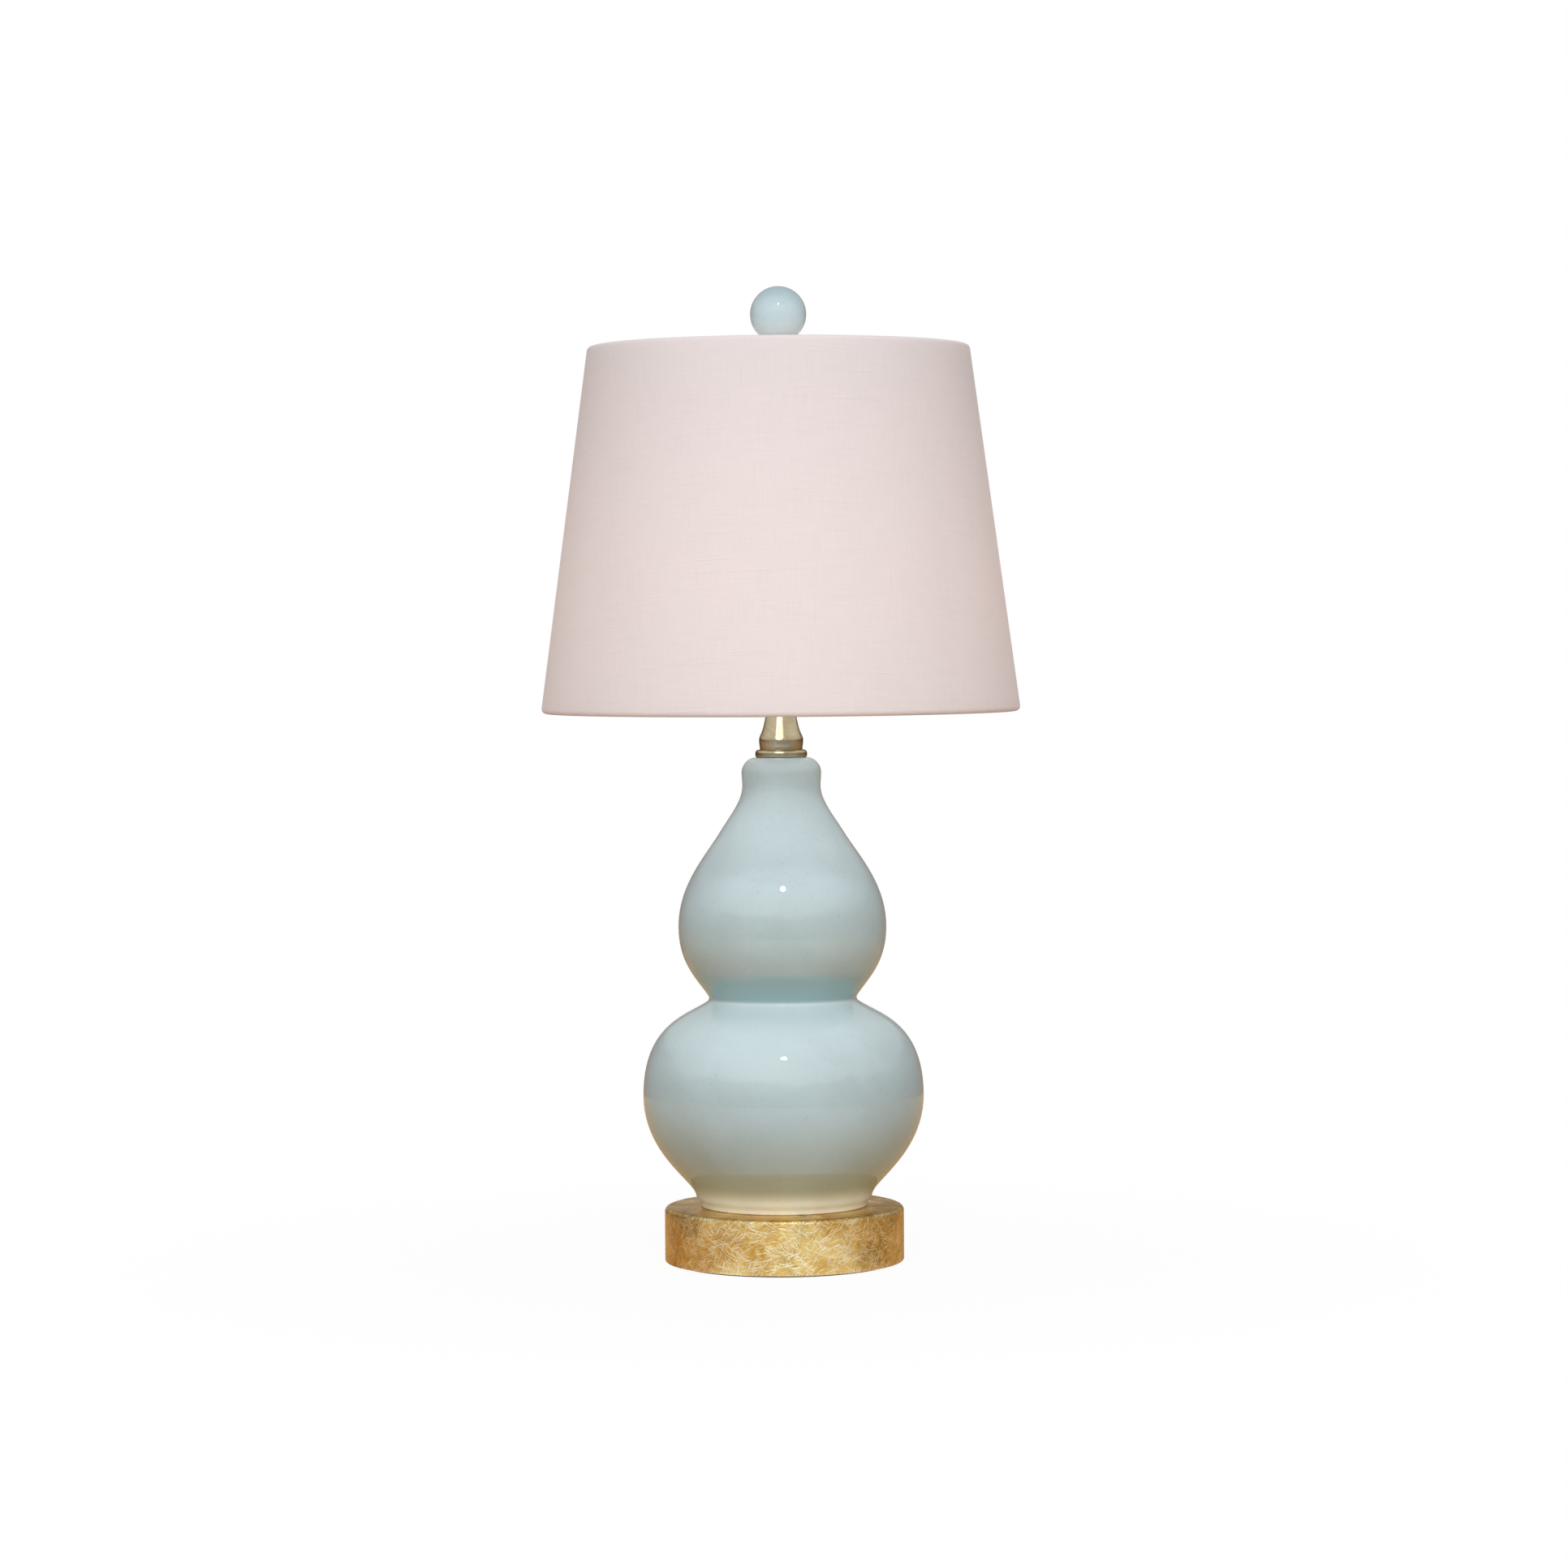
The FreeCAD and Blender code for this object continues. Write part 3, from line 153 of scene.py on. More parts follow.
# finishes
glazePlan = {
    # colours up the body by height in mm: creamy at the foot, painted light and a painted reflection of the
    # gold plinth; a pale band just under the waist, painted light; deep over the waist, where the glaze
    # pools, partly painted shade and reflection; paler up the cone, partly thinner glaze and partly painted
    # light
    "heights": {31: (1.0, 0.98, 0.86), 37: (0.88, 0.89, 0.75), 45: (0.58, 0.63, 0.50),
                63: (0.485, 0.59, 0.575), 88: (0.495, 0.625, 0.66), 112: (0.56, 0.70, 0.745),
                133: (0.62, 0.77, 0.81), 140.5: (0.66, 0.79, 0.82), 142.5: (0.35, 0.52, 0.54),
                152: (0.36, 0.525, 0.54), 159: (0.46, 0.57, 0.57), 176: (0.50, 0.63, 0.65),
                205: (0.55, 0.695, 0.755), 240: (0.61, 0.78, 0.87), 270: (0.615, 0.79, 0.88)},
    "wander": 2.0,
    "patches": 16.0, "patchShade": 0.07,
    "specks": 620.0, "speckShade": 0.10, "speckRelief": 0.02,
    "waves": 34.0, "wavesDepth": 0.25, "wavesStrength": 0.35,
    "roughness": (0.03, 0.06),
}


def celadonGlaze(name, plan):
    # glossy aqua glaze: colour by height, with painted light, shade and reflection in it, soft cloudy patches
    # and fine specks in it, a gentle waviness
    material, tree, shader, place = startFinish(name, {"IOR": 1.6})
    clouds = noise(tree, place, plan["patches"], 4.0, 0.55, 0.4)
    specks = noise(tree, place, plan["specks"], 2.0, 0.5)
    heights = list(plan["heights"])
    wander = times(tree, calc(tree, "SUBTRACT", clouds, 0.5), plan["wander"] * mm)
    level = plus(tree, put(tree, "SeparateXYZ", {"Vector": place}).outputs[2], wander)
    ramp = put(tree, "ValToRGB", {0: spread(tree, level, heights[0] * mm, heights[-1] * mm)})
    ramp.color_ramp.interpolation = "EASE"
    stops = ramp.color_ramp.elements
    for number, (height, colour) in enumerate(plan["heights"].items()):
        spot = (height - heights[0]) / (heights[-1] - heights[0])
        stop = stops[0] if number == 0 else stops[-1] if number == len(heights) - 1 else stops.new(spot)
        stop.position = spot
        stop.color = rgba(colour)
    shade = plus(tree, spread(tree, clouds, 0.3, 0.7, 1 - plan["patchShade"], 1 + plan["patchShade"]),
                 spread(tree, specks, 0.62, 0.75, 0.0, -plan["speckShade"]))
    tint = put(tree, "CombineColor", {0: shade, 1: shade, 2: shade}).outputs[0]
    colour = blendColour(tree, 1.0, ramp.outputs["Color"], tint, "MULTIPLY")
    tree.links.new(colour, shader.inputs["Base Color"])
    gloss = spread(tree, clouds, 0.3, 0.7, plan["roughness"][0], plan["roughness"][1])
    tree.links.new(gloss, shader.inputs["Roughness"])
    ripple = noise(tree, place, plan["waves"], 2.0, 0.4)
    relief = plus(tree, ripple, times(tree, specks, plan["speckRelief"]))
    setBump(tree, shader, relief, plan["wavesDepth"] * mm, plan["wavesStrength"])
    return material


leafPlan = {
    "bright": (0.84, 0.59, 0.19), "warm": (0.60, 0.33, 0.05), "clouds": 42.0,
    "dull": (0.42, 0.29, 0.07), "dullPatches": 30.0,
    "bole": (0.30, 0.13, 0.03), "scratches": (45.0, 1500.0, 1.0), "scratchTurn": 12.0, "crumple": 260.0,
    # strokesOnTop: the share of strokes kept on the flat top, which is left darker as painted shade
    "strokes": (1.0, 0.93, 0.68), "strokeScale": (105.0, 1250.0, 1.0), "strokesOnTop": 0.2,
    "strokeTurns": (24.0, -31.0, 52.0, -57.0, 9.0, 74.0, -12.0),
    "strokePatches": (85.0, 85.0, 1.0), "patchTurn": 40.0,
    "roughness": (0.26, 0.46),
    "relief": 0.4, "reliefStrength": 0.7,
}


def goldLeaf(name, plan):
    # leaf over a red-brown ground: cloudy sheets, crossing pale strokes, fine scratches down to the ground
    material, tree, shader, place = startFinish(name, {"Metallic": 1.0})
    flat = put(tree, "UVMap", uv_map="wrap").outputs[0]
    clouds = noise(tree, place, plan["clouds"], 4.0, 0.6, 0.8)
    crumple = noise(tree, place, plan["crumple"], 4.0, 0.65, 0.6)
    colour = blendColour(tree, spread(tree, clouds, 0.38, 0.62), rgba(plan["warm"]), rgba(plan["bright"]))
    patches = noise(tree, place, plan["dullPatches"], 3.0, 0.6, 0.8)
    dull = times(tree, spread(tree, patches, 0.52, 0.68), spread(tree, crumple, 0.40, 0.55))
    colour = blendColour(tree, dull, colour, rgba(plan["dull"]))
    strokes = None
    for number, turn in enumerate(plan["strokeTurns"]):
        streak = noise(tree, stretched(tree, flat, plan["strokeScale"], turn), 1.0, 1.5, 0.5, 0.25)
        # each way of stroking has patches of its own, so the same noise is turned further each time
        further = number * plan["patchTurn"]
        patch = noise(tree, stretched(tree, flat, plan["strokePatches"], further), 1.0, 1.0)
        line = times(tree, spread(tree, streak, 0.57, 0.67), spread(tree, patch, 0.40, 0.55))
        strokes = line if strokes is None else larger(tree, strokes, line)
    # the strokes show most on the bright leaf and sink into the warm; on the flat top most are left out,
    # painted shade that keeps the top darker
    facing = put(tree, "SeparateXYZ", {"Vector": put(tree, "TexCoord").outputs["Normal"]}).outputs[2]
    shown = times(tree, strokes, spread(tree, clouds, 0.35, 0.6, 0.5, 1.0))
    shown = times(tree, shown, spread(tree, facing, 0.7, 0.98, 1.0, plan["strokesOnTop"]))
    colour = blendColour(tree, shown, colour, rgba(plan["strokes"]))
    scratch = noise(tree, stretched(tree, flat, plan["scratches"], plan["scratchTurn"]), 1.0, 1.0, 0.5, 0.2)
    bare = times(tree, spread(tree, scratch, 0.70, 0.75), spread(tree, crumple, 0.45, 0.6))
    bare = larger(tree, bare, spread(tree, crumple, 0.70, 0.78, 0.0, 0.8))
    colour = blendColour(tree, bare, colour, rgba(plan["bole"]))
    tree.links.new(colour, shader.inputs["Base Color"])
    gloss = spread(tree, plus(tree, clouds, times(tree, crumple, 0.6)), 0.55, 1.0,
                   plan["roughness"][1], plan["roughness"][0])
    tree.links.new(gloss, shader.inputs["Roughness"])
    relief = plus(tree, times(tree, crumple, 0.8), times(tree, strokes, 0.5))
    relief = calc(tree, "SUBTRACT", relief, times(tree, bare, 0.5))
    setBump(tree, shader, relief, plan["relief"] * mm, plan["reliefStrength"])
    return material


brassPlan = {
    # rim: the colour of its edges, a painted shade where the brass turns away
    "light": (0.78, 0.73, 0.58), "dark": (0.44, 0.385, 0.25), "rim": (0.30, 0.26, 0.18),
    "patches": 70.0, "specks": 900.0,
    "rings": (3.0, 3.0, 1400.0), "ringShade": 0.25, "ringDepth": 0.02, "ringStrength": 0.35,
    "roughness": (0.09, 0.17),
}


def turnedBrass(name, plan):
    # polished brass with faint lathe rings, cloudy ageing and darker specks, and painted shade that makes it
    # darker where it turns away
    material, tree, shader, place = startFinish(name, {"Metallic": 1.0, "Specular Tint": rgba(plan["rim"])})
    clouds = noise(tree, place, plan["patches"], 4.0, 0.6, 0.5)
    rings = noise(tree, stretched(tree, place, plan["rings"]), 1.0, 1.0)
    specks = noise(tree, place, plan["specks"], 2.0)
    share = spread(tree, plus(tree, clouds, times(tree, rings, plan["ringShade"])), 0.45, 0.85)
    colour = blendColour(tree, share, rgba(plan["dark"]), rgba(plan["light"]))
    colour = blendColour(tree, spread(tree, specks, 0.68, 0.76, 0.0, 0.5), colour, rgba(plan["dark"]))
    tree.links.new(colour, shader.inputs["Base Color"])
    gloss = spread(tree, plus(tree, clouds, times(tree, specks, 0.3)), 0.4, 0.9,
                   plan["roughness"][1], plan["roughness"][0])
    tree.links.new(gloss, shader.inputs["Roughness"])
    setBump(tree, shader, rings, plan["ringDepth"] * mm, plan["ringStrength"])
    return material


linenPlan = {
    "light": (0.905, 0.873, 0.90), "shadow": (0.855, 0.823, 0.85), "clouds": 22.0,
    "warp": (1750.0, 55.0, 1.0), "weft": (48.0, 1650.0, 1.0),
    "warpSlubs": (700.0, 12.0, 1.0), "weftSlubs": (14.0, 620.0, 1.0), "slubShade": 0.25,
    "relief": 0.25, "reliefStrength": 0.5,
    "glowShare": 0.16, "through": (1.0, 0.74, 0.58),
}


def linenWeave(name, plan):
    # off-white linen: threads of uneven thickness both ways, a few thick slubs, some light coming through
    material, tree, shader, place = startFinish(name, {"Roughness": 0.85, "Specular IOR Level": 0.25,
                                                       "Sheen Weight": 0.15, "Sheen Roughness": 0.5})
    flat = put(tree, "UVMap", uv_map="cloth").outputs[0]
    warp = noise(tree, stretched(tree, flat, plan["warp"]), 1.0, 2.0, 0.55, 0.15)
    weft = noise(tree, stretched(tree, flat, plan["weft"]), 1.0, 2.0, 0.55, 0.15)
    weftSlubs = noise(tree, stretched(tree, flat, plan["weftSlubs"]), 1.0, 1.0, 0.5, 0.3)
    warpSlubs = noise(tree, stretched(tree, flat, plan["warpSlubs"]), 1.0, 1.0, 0.5, 0.3)
    clouds = noise(tree, flat, plan["clouds"], 3.0)
    threads = times(tree, plus(tree, warp, weft), 0.5)
    slubs = larger(tree, spread(tree, weftSlubs, 0.66, 0.76), spread(tree, warpSlubs, 0.68, 0.78, 0.0, 0.8))
    tone = plus(tree, spread(tree, threads, 0.36, 0.62), times(tree, slubs, -plan["slubShade"]))
    tone = plus(tree, tone, spread(tree, clouds, 0.3, 0.7, -0.12, 0.12))
    colour = blendColour(tree, spread(tree, tone, -0.3, 0.9), rgba(plan["shadow"]), rgba(plan["light"]))
    tree.links.new(colour, shader.inputs["Base Color"])
    tree.links.new(spread(tree, threads, 0.3, 0.7, 0.92, 0.74), shader.inputs["Roughness"])
    relief = plus(tree, threads, times(tree, slubs, 0.4))
    setBump(tree, shader, relief, plan["relief"] * mm, plan["reliefStrength"])
    warmed = blendColour(tree, 1.0, colour, rgba(plan["through"]), "MULTIPLY")
    through = put(tree, "BsdfTranslucent", {"Color": warmed})
    mix = put(tree, "MixShader", {0: plan["glowShare"], 1: shader.outputs[0], 2: through.outputs[0]})
    tree.links.new(mix.outputs[0], tree.nodes["Material Output"].inputs["Surface"])
    return material


plainFinishes = {
    "whiteLiner": {
        "light": (0.875, 0.865, 0.835), "dark": (0.845, 0.833, 0.80), "patches": 30.0, "grain": 900.0,
        "roughness": (0.34, 0.5), "bump": 0.03,
    },
    "whiteWire": {
        "light": (0.80, 0.79, 0.76), "dark": (0.68, 0.665, 0.63), "patches": 120.0, "grain": 1600.0,
        "roughness": (0.3, 0.46), "bump": 0.03,
    },
    "zincSteel": {
        "light": (0.66, 0.67, 0.67), "dark": (0.42, 0.43, 0.45), "patches": 160.0, "grain": 1300.0,
        "roughness": (0.26, 0.44), "bump": 0.03, "sockets": {"Metallic": 1.0},
    },
    "blackPhenolic": {
        "light": (0.034, 0.031, 0.029), "dark": (0.014, 0.012, 0.011), "patches": 140.0, "grain": 2400.0,
        "roughness": (0.22, 0.42), "bump": 0.02,
    },
    "whiteNylon": {
        "light": (0.82, 0.81, 0.76), "dark": (0.70, 0.69, 0.63), "patches": 150.0, "grain": 1800.0,
        "roughness": (0.35, 0.5), "bump": 0.02,
    },
    "fibreCard": {
        "light": (0.30, 0.22, 0.155), "dark": (0.14, 0.10, 0.07), "patches": 90.0, "grain": 1100.0,
        "roughness": (0.75, 0.95), "bump": 0.08, "stretch": (1.0, 1.0, 0.25),
    },
    "feltPad": {
        "light": (0.030, 0.036, 0.030), "dark": (0.010, 0.013, 0.010), "patches": 130.0, "grain": 1500.0,
        "roughness": (0.9, 1.0), "bump": 0.5, "bumpStrength": 1.0, "sockets": {"Sheen Weight": 0.3},
    },
    "rolledAluminium": {
        "light": (0.80, 0.80, 0.80), "dark": (0.58, 0.58, 0.59), "patches": 110.0, "grain": 900.0,
        "roughness": (0.2, 0.36), "bump": 0.03, "stretch": (1.0, 1.0, 6.0), "sockets": {"Metallic": 1.0},
    },
    "blackVitrite": {
        "light": (0.022, 0.020, 0.030), "dark": (0.008, 0.007, 0.012), "patches": 150.0, "grain": 1200.0,
        "roughness": (0.08, 0.2), "bump": 0.03,
    },
    "tungstenWire": {
        "light": (0.40, 0.39, 0.38), "dark": (0.22, 0.21, 0.20), "patches": 300.0, "grain": 4000.0,
        "roughness": (0.32, 0.5), "bump": 0.02, "sockets": {"Metallic": 1.0},
    },
    "frostedGlass": {
        "light": (0.93, 0.92, 0.89), "dark": (0.87, 0.86, 0.83), "patches": 60.0, "grain": 2200.0,
        "roughness": (0.42, 0.58), "bump": 0.02, "sockets": {"Transmission Weight": 0.35, "IOR": 1.5},
    },
    "clearGlass": {
        "light": (0.95, 0.97, 0.97), "dark": (0.90, 0.93, 0.93), "patches": 90.0, "grain": 700.0,
        "roughness": (0.01, 0.05), "bump": 0.02, "sockets": {"Transmission Weight": 1.0, "IOR": 1.5},
    },
}

finishes = {name: mottled(name, plan) for name, plan in plainFinishes.items()}
finishes["celadonGlaze"] = celadonGlaze("celadonGlaze", glazePlan)
ballGlazePlan = dict(
    glazePlan,
    # colours by height: lighter at the ball's foot and darker at its top, painted light and shade
    heights={489: (0.70, 0.80, 0.87), 503: (0.55, 0.69, 0.75), 519: (0.42, 0.565, 0.61)},
    patches=70.0, patchShade=0.03, waves=30.0, wavesDepth=0.05,
)
finishes["ballGlaze"] = celadonGlaze("ballGlaze", ballGlazePlan)
finishes["goldLeaf"] = goldLeaf("goldLeaf", leafPlan)
finishes["turnedBrass"] = turnedBrass("turnedBrass", brassPlan)
finishes["linenWeave"] = linenWeave("linenWeave", linenPlan)
print("finishes made:", len(finishes))


# making pieces
def bodyOf(node):
    return next(body for body, members in frame["record"]["behaviour"]["bodies"].items() if node in members)


def addPiece(name, mesh, finish, node, sharp=32.0):
    # smooth where the faces turn by less than the sharp angle, in degrees
    # the piece stands for its node and rides where that does
    for face in mesh.polygons:
        face.use_smooth = True
    mesh.set_sharp_from_angle(angle=math.radians(sharp))
    mesh.materials.clear()
    mesh.materials.append(finishes[finish])
    piece = bpy.data.objects.new(name, mesh)
    scene.collection.objects.link(piece)
    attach(piece, bodyOf(node))
    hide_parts(node)
    return piece


def finishMesh(bm, name):
    mesh = bpy.data.meshes.new(name)
    bm.to_mesh(mesh)
    bm.free()
    return mesh


def turnOutline(points, steps):
    # a closed outline, (radius, height) in mm, turned right round the lamp's axis
    bm = bmesh.new()
    corners = [bm.verts.new((radius * mm, 0, height * mm)) for radius, height in points]
    edges = [bm.edges.new(pair) for pair in zip(corners, corners[1:] + corners[:1])]
    bmesh.ops.spin(bm, geom=corners + edges, cent=(0, 0, 0), axis=(0, 0, 1), angle=math.tau, steps=steps,
                   use_merge=True)
    bmesh.ops.remove_doubles(bm, verts=bm.verts, dist=weld)
    bmesh.ops.recalc_face_normals(bm, faces=bm.faces)
    return bm


def lean(slope):
    # upwards, leaning out by a slope in degrees
    return Vector((math.sin(math.radians(slope)), math.cos(math.radians(slope))))


def sweep(start, startSlope, startPull, end, endSlope, endPull, count):
    # points of one smooth stretch of an outline, without its last
    first, last = Vector(start), Vector(end)
    points = interpolate_bezier(first, first + lean(startSlope) * startPull, last - lean(endSlope) * endPull,
                                last, count + 1)
    return [tuple(point) for point in points[:-1]]


def arc(centre, radius, fromAngle, toAngle, count):
    # points of an arc, without its last
    return [(centre[0] + radius * math.cos(math.radians(fromAngle + (toAngle - fromAngle) * k / count)),
             centre[1] + radius * math.sin(math.radians(fromAngle + (toAngle - fromAngle) * k / count)))
            for k in range(count)]


# gourd body
gourd = {
    "foot": 30.5,
    "footRadius": 44.6, "footEdge": 1.2, "footTop": (46.95, 6.0), "footPull": 2.2,
    "footRing": 6.5, "recess": 1.6, "hole": 7.0,
    "flareSlope": 10.6, "flarePull": 8.3,
    "lowerBelly": (74.7, 59.3), "lowerPulls": (31.0, 39.2),
    "waist": (38.6, 110.6), "groove": 2.0, "shoulderSlope": -54.0, "shoulderPull": 11.4,
    "riseSlope": 32.9, "risePull": 10.2,
    "upperBelly": (55.35, 148.9), "upperPulls": (19.8, 22.6),
    "bend": (32.9, 199.5), "bendSlope": -31.9, "bendPulls": (15.6, 10.3),
    "throat": (20.85, 224.0), "throatPull": 8.0,
    "lip": 21.2, "lipPull": 2.2, "lipRounding": 8.3, "height": 239.1,
    "mouth": 12.2, "mouthEdge": 1.0, "mouthWeb": 5.5,
    "wall": 4.5, "hollowFrom": 7.0, "hollowSkip": 3,
    # steps around, and points up each stretch of the wall in turn
    "steps": 240, "counts": (22, 26, 8, 18, 22, 12), "footCount": 5, "lipCount": 5, "roundingCount": 14,
    "sharp": 50.0,
}


def gourdWall(plan):
    # the outside between the top of the foot and the throat, going up, with heights above the foot
    lowCount, shoulderCount, grooveCount, riseCount, highCount, bendCount = plan["counts"]
    half = math.radians(plan["riseSlope"] - plan["shoulderSlope"]) / 2
    reach = plan["groove"] * math.tan(half)
    waist = Vector(plan["waist"])
    shoulder = waist - lean(plan["shoulderSlope"]) * reach
    rise = waist + lean(plan["riseSlope"]) * reach
    outward = (lean(plan["riseSlope"]) - lean(plan["shoulderSlope"])).normalized()
    centre = waist + outward * (plan["groove"] / math.cos(half))
    points = sweep(plan["footTop"], plan["flareSlope"], plan["flarePull"], plan["lowerBelly"], 0,
                   plan["lowerPulls"][0], lowCount)
    points += sweep(plan["lowerBelly"], 0, plan["lowerPulls"][1], shoulder, plan["shoulderSlope"],
                    plan["shoulderPull"], shoulderCount)
    for k in range(grooveCount):
        spoke = (shoulder - centre).lerp(rise - centre, k / grooveCount).normalized()
        points.append(tuple(centre + spoke * plan["groove"]))
    points += sweep(rise, plan["riseSlope"], plan["risePull"], plan["upperBelly"], 0, plan["upperPulls"][0],
                    riseCount)
    points += sweep(plan["upperBelly"], 0, plan["upperPulls"][1], plan["bend"], plan["bendSlope"],
                    plan["bendPulls"][0], highCount)
    points += sweep(plan["bend"], plan["bendSlope"], plan["bendPulls"][1], plan["throat"], 0,
                    plan["throatPull"], bendCount)
    return points


def makeGourd(plan):
    wall = gourdWall(plan)
    # the same wall one thickness further in, for the hollow
    hollow = []
    for before, point, after in zip(wall, wall[2:], wall[4:]):
        along = (Vector(after) - Vector(before)).normalized()
        hollow.append((point[0] - along[1] * plan["wall"], point[1] + along[0] * plan["wall"]))
    hollow = [point for point in hollow[::plan["hollowSkip"]] if point[1] > plan["hollowFrom"]]
    top = plan["height"]
    rounding = plan["lipRounding"]
    points = [(plan["hole"], plan["recess"]), (plan["footRadius"] - plan["footRing"], plan["recess"]),
              (plan["footRadius"] - plan["footRing"], 0)]
    points += arc((plan["footRadius"] - plan["footEdge"], plan["footEdge"]), plan["footEdge"], -90, 0,
                  plan["footCount"])
    points += sweep((plan["footRadius"], plan["footEdge"]), plan["flareSlope"], plan["footPull"],
                    plan["footTop"], plan["flareSlope"], plan["footPull"], plan["footCount"])
    points += wall
    points += sweep(plan["throat"], 0, plan["lipPull"], (plan["lip"], top - rounding), 0, plan["lipPull"],
                    plan["lipCount"])
    points += arc((plan["lip"] - rounding, top - rounding), rounding, 0, 90, plan["roundingCount"])
    points += [(plan["lip"] - rounding, top), (plan["mouth"] + plan["mouthEdge"], top),
               (plan["mouth"], top - plan["mouthEdge"]), (plan["mouth"], top - plan["mouthWeb"]),
               (plan["throat"][0] - plan["wall"], top - plan["mouthWeb"])]
    points += hollow[::-1]
    points += [(plan["footTop"][0] - plan["wall"], plan["footTop"][1]), (plan["hole"], plan["footTop"][1])]
    points = [(radius, height + plan["foot"]) for radius, height in points]
    mesh = finishMesh(turnOutline(points, plan["steps"]), "gourdBody")
    addPiece("gourdBody", mesh, "celadonGlaze", "gourd_body", plan["sharp"])


makeGourd(gourd)
print("gourd body made")


# brass neck: a rounded ring at its foot, then a concave flare up to its collar
neck = {
    "bottom": 273.6, "height": 25.5,
    "foot": 11.3, "footPull": 1.3,
    "ring": (11.75, 4.7), "ringPull": 1.5, "ringSlope": -12.0,
    "flare": (11.1, 7.7), "flareSlope": -32.0, "flarePull": 3.4,
    "top": 7.2, "topSlope": -6.0, "topPull": 7.5,
    "wall": 1.2, "bore": 5.2, "web": 3.0,
    "steps": 160, "ringCount": 10, "flareCount": 26, "sharp": 40.0,
}


def makeNeck(plan):
    top = plan["height"]
    points = [(plan["foot"] - plan["wall"], 0)]
    points += sweep((plan["foot"], 0), 0, plan["footPull"], plan["ring"], 0, plan["ringPull"],
                    plan["ringCount"])
    points += sweep(plan["ring"], 0, plan["ringPull"], plan["flare"], plan["ringSlope"], plan["footPull"] / 2,
                    plan["ringCount"])
    points += sweep(plan["flare"], plan["flareSlope"], plan["flarePull"], (plan["top"], top),
                    plan["topSlope"], plan["topPull"], plan["flareCount"])
    points += [(plan["top"], top), (plan["bore"], top), (plan["bore"], top - plan["web"]),
               (plan["top"] - plan["wall"], top - plan["web"])]
    points = [(radius, height + plan["bottom"]) for radius, height in points]
    mesh = finishMesh(turnOutline(points, plan["steps"]), "brassNeck")
    addPiece("brassNeck", mesh, "turnedBrass", "brass_neck", plan["sharp"])


makeNeck(neck)
print("neck made")


# ball of the finial
ball = {"radius": 14.9, "centre": 504.15, "flat": 1.0, "around": 128, "up": 80, "sharp": 30.0}


def makeBall(plan):
    bm = bmesh.new()
    bmesh.ops.create_uvsphere(bm, u_segments=plan["around"], v_segments=plan["up"],
                              radius=plan["radius"] * mm)
    low = -(plan["radius"] - plan["flat"]) * mm
    cut = bmesh.ops.bisect_plane(bm, geom=bm.verts[:] + bm.edges[:] + bm.faces[:], plane_co=(0, 0, low),
                                 plane_no=(0, 0, -1), clear_outer=True)
    rim = [part for part in cut["geom_cut"] if isinstance(part, bmesh.types.BMEdge)]
    bmesh.ops.edgeloop_fill(bm, edges=rim)
    bmesh.ops.translate(bm, verts=bm.verts, vec=(0, 0, plan["centre"] * mm))
    bmesh.ops.recalc_face_normals(bm, faces=bm.faces)
    addPiece("finialBall", finishMesh(bm, "finialBall"), "ballGlaze", "finial_ball", plan["sharp"])


makeBall(ball)
print("finial ball made")


# linen cover of the shade, hemmed round both rings
cover = {
    "lowRing": (124.5, 296.0), "highRing": (99.0, 484.9),
    "hem": 2.5, "tail": 11.0, "turn": 35.0,
    "landing": 0.9,          # outside of the hem's tail, from the line of ring centres
    "hemCloth": 17.0,        # cloth taken up past each ring's centre
    "thickness": 0.6,
    "steps": 288, "rows": 30, "arcSteps": 12, "sharp": 60.0,
}


def coverPath(plan):
    # from the tail of the upper hem, round the upper ring, down the wall, and in at the lower hem
    low, high = Vector(plan["lowRing"]), Vector(plan["highRing"])
    length = (high - low).length
    up = (high - low).normalized()
    normal = Vector((up[1], -up[0]))
    turn = math.radians(plan["turn"])
    reach = (plan["landing"] + plan["hem"] * math.cos(turn)) / math.sin(turn)
    land = plan["hem"] * math.sin(turn) + reach * math.cos(turn)
    hem = [(plan["tail"], plan["landing"]), (land, plan["landing"])]
    # then from where the hem leaves the ring, round the ring's far side, to its outside
    start = plan["turn"] - 90
    for k in range(plan["arcSteps"] + 1):
        angle = math.radians(start - (270 + start) * k / plan["arcSteps"])
        hem.append((plan["hem"] * math.cos(angle), plan["hem"] * math.sin(angle)))
    path = [(length - along, out) for along, out in hem]
    path += [(length * (1 - k / plan["rows"]), plan["hem"]) for k in range(1, plan["rows"])]
    path += hem[::-1]
    return [tuple(low + up * along + normal * out) for along, out in path], length


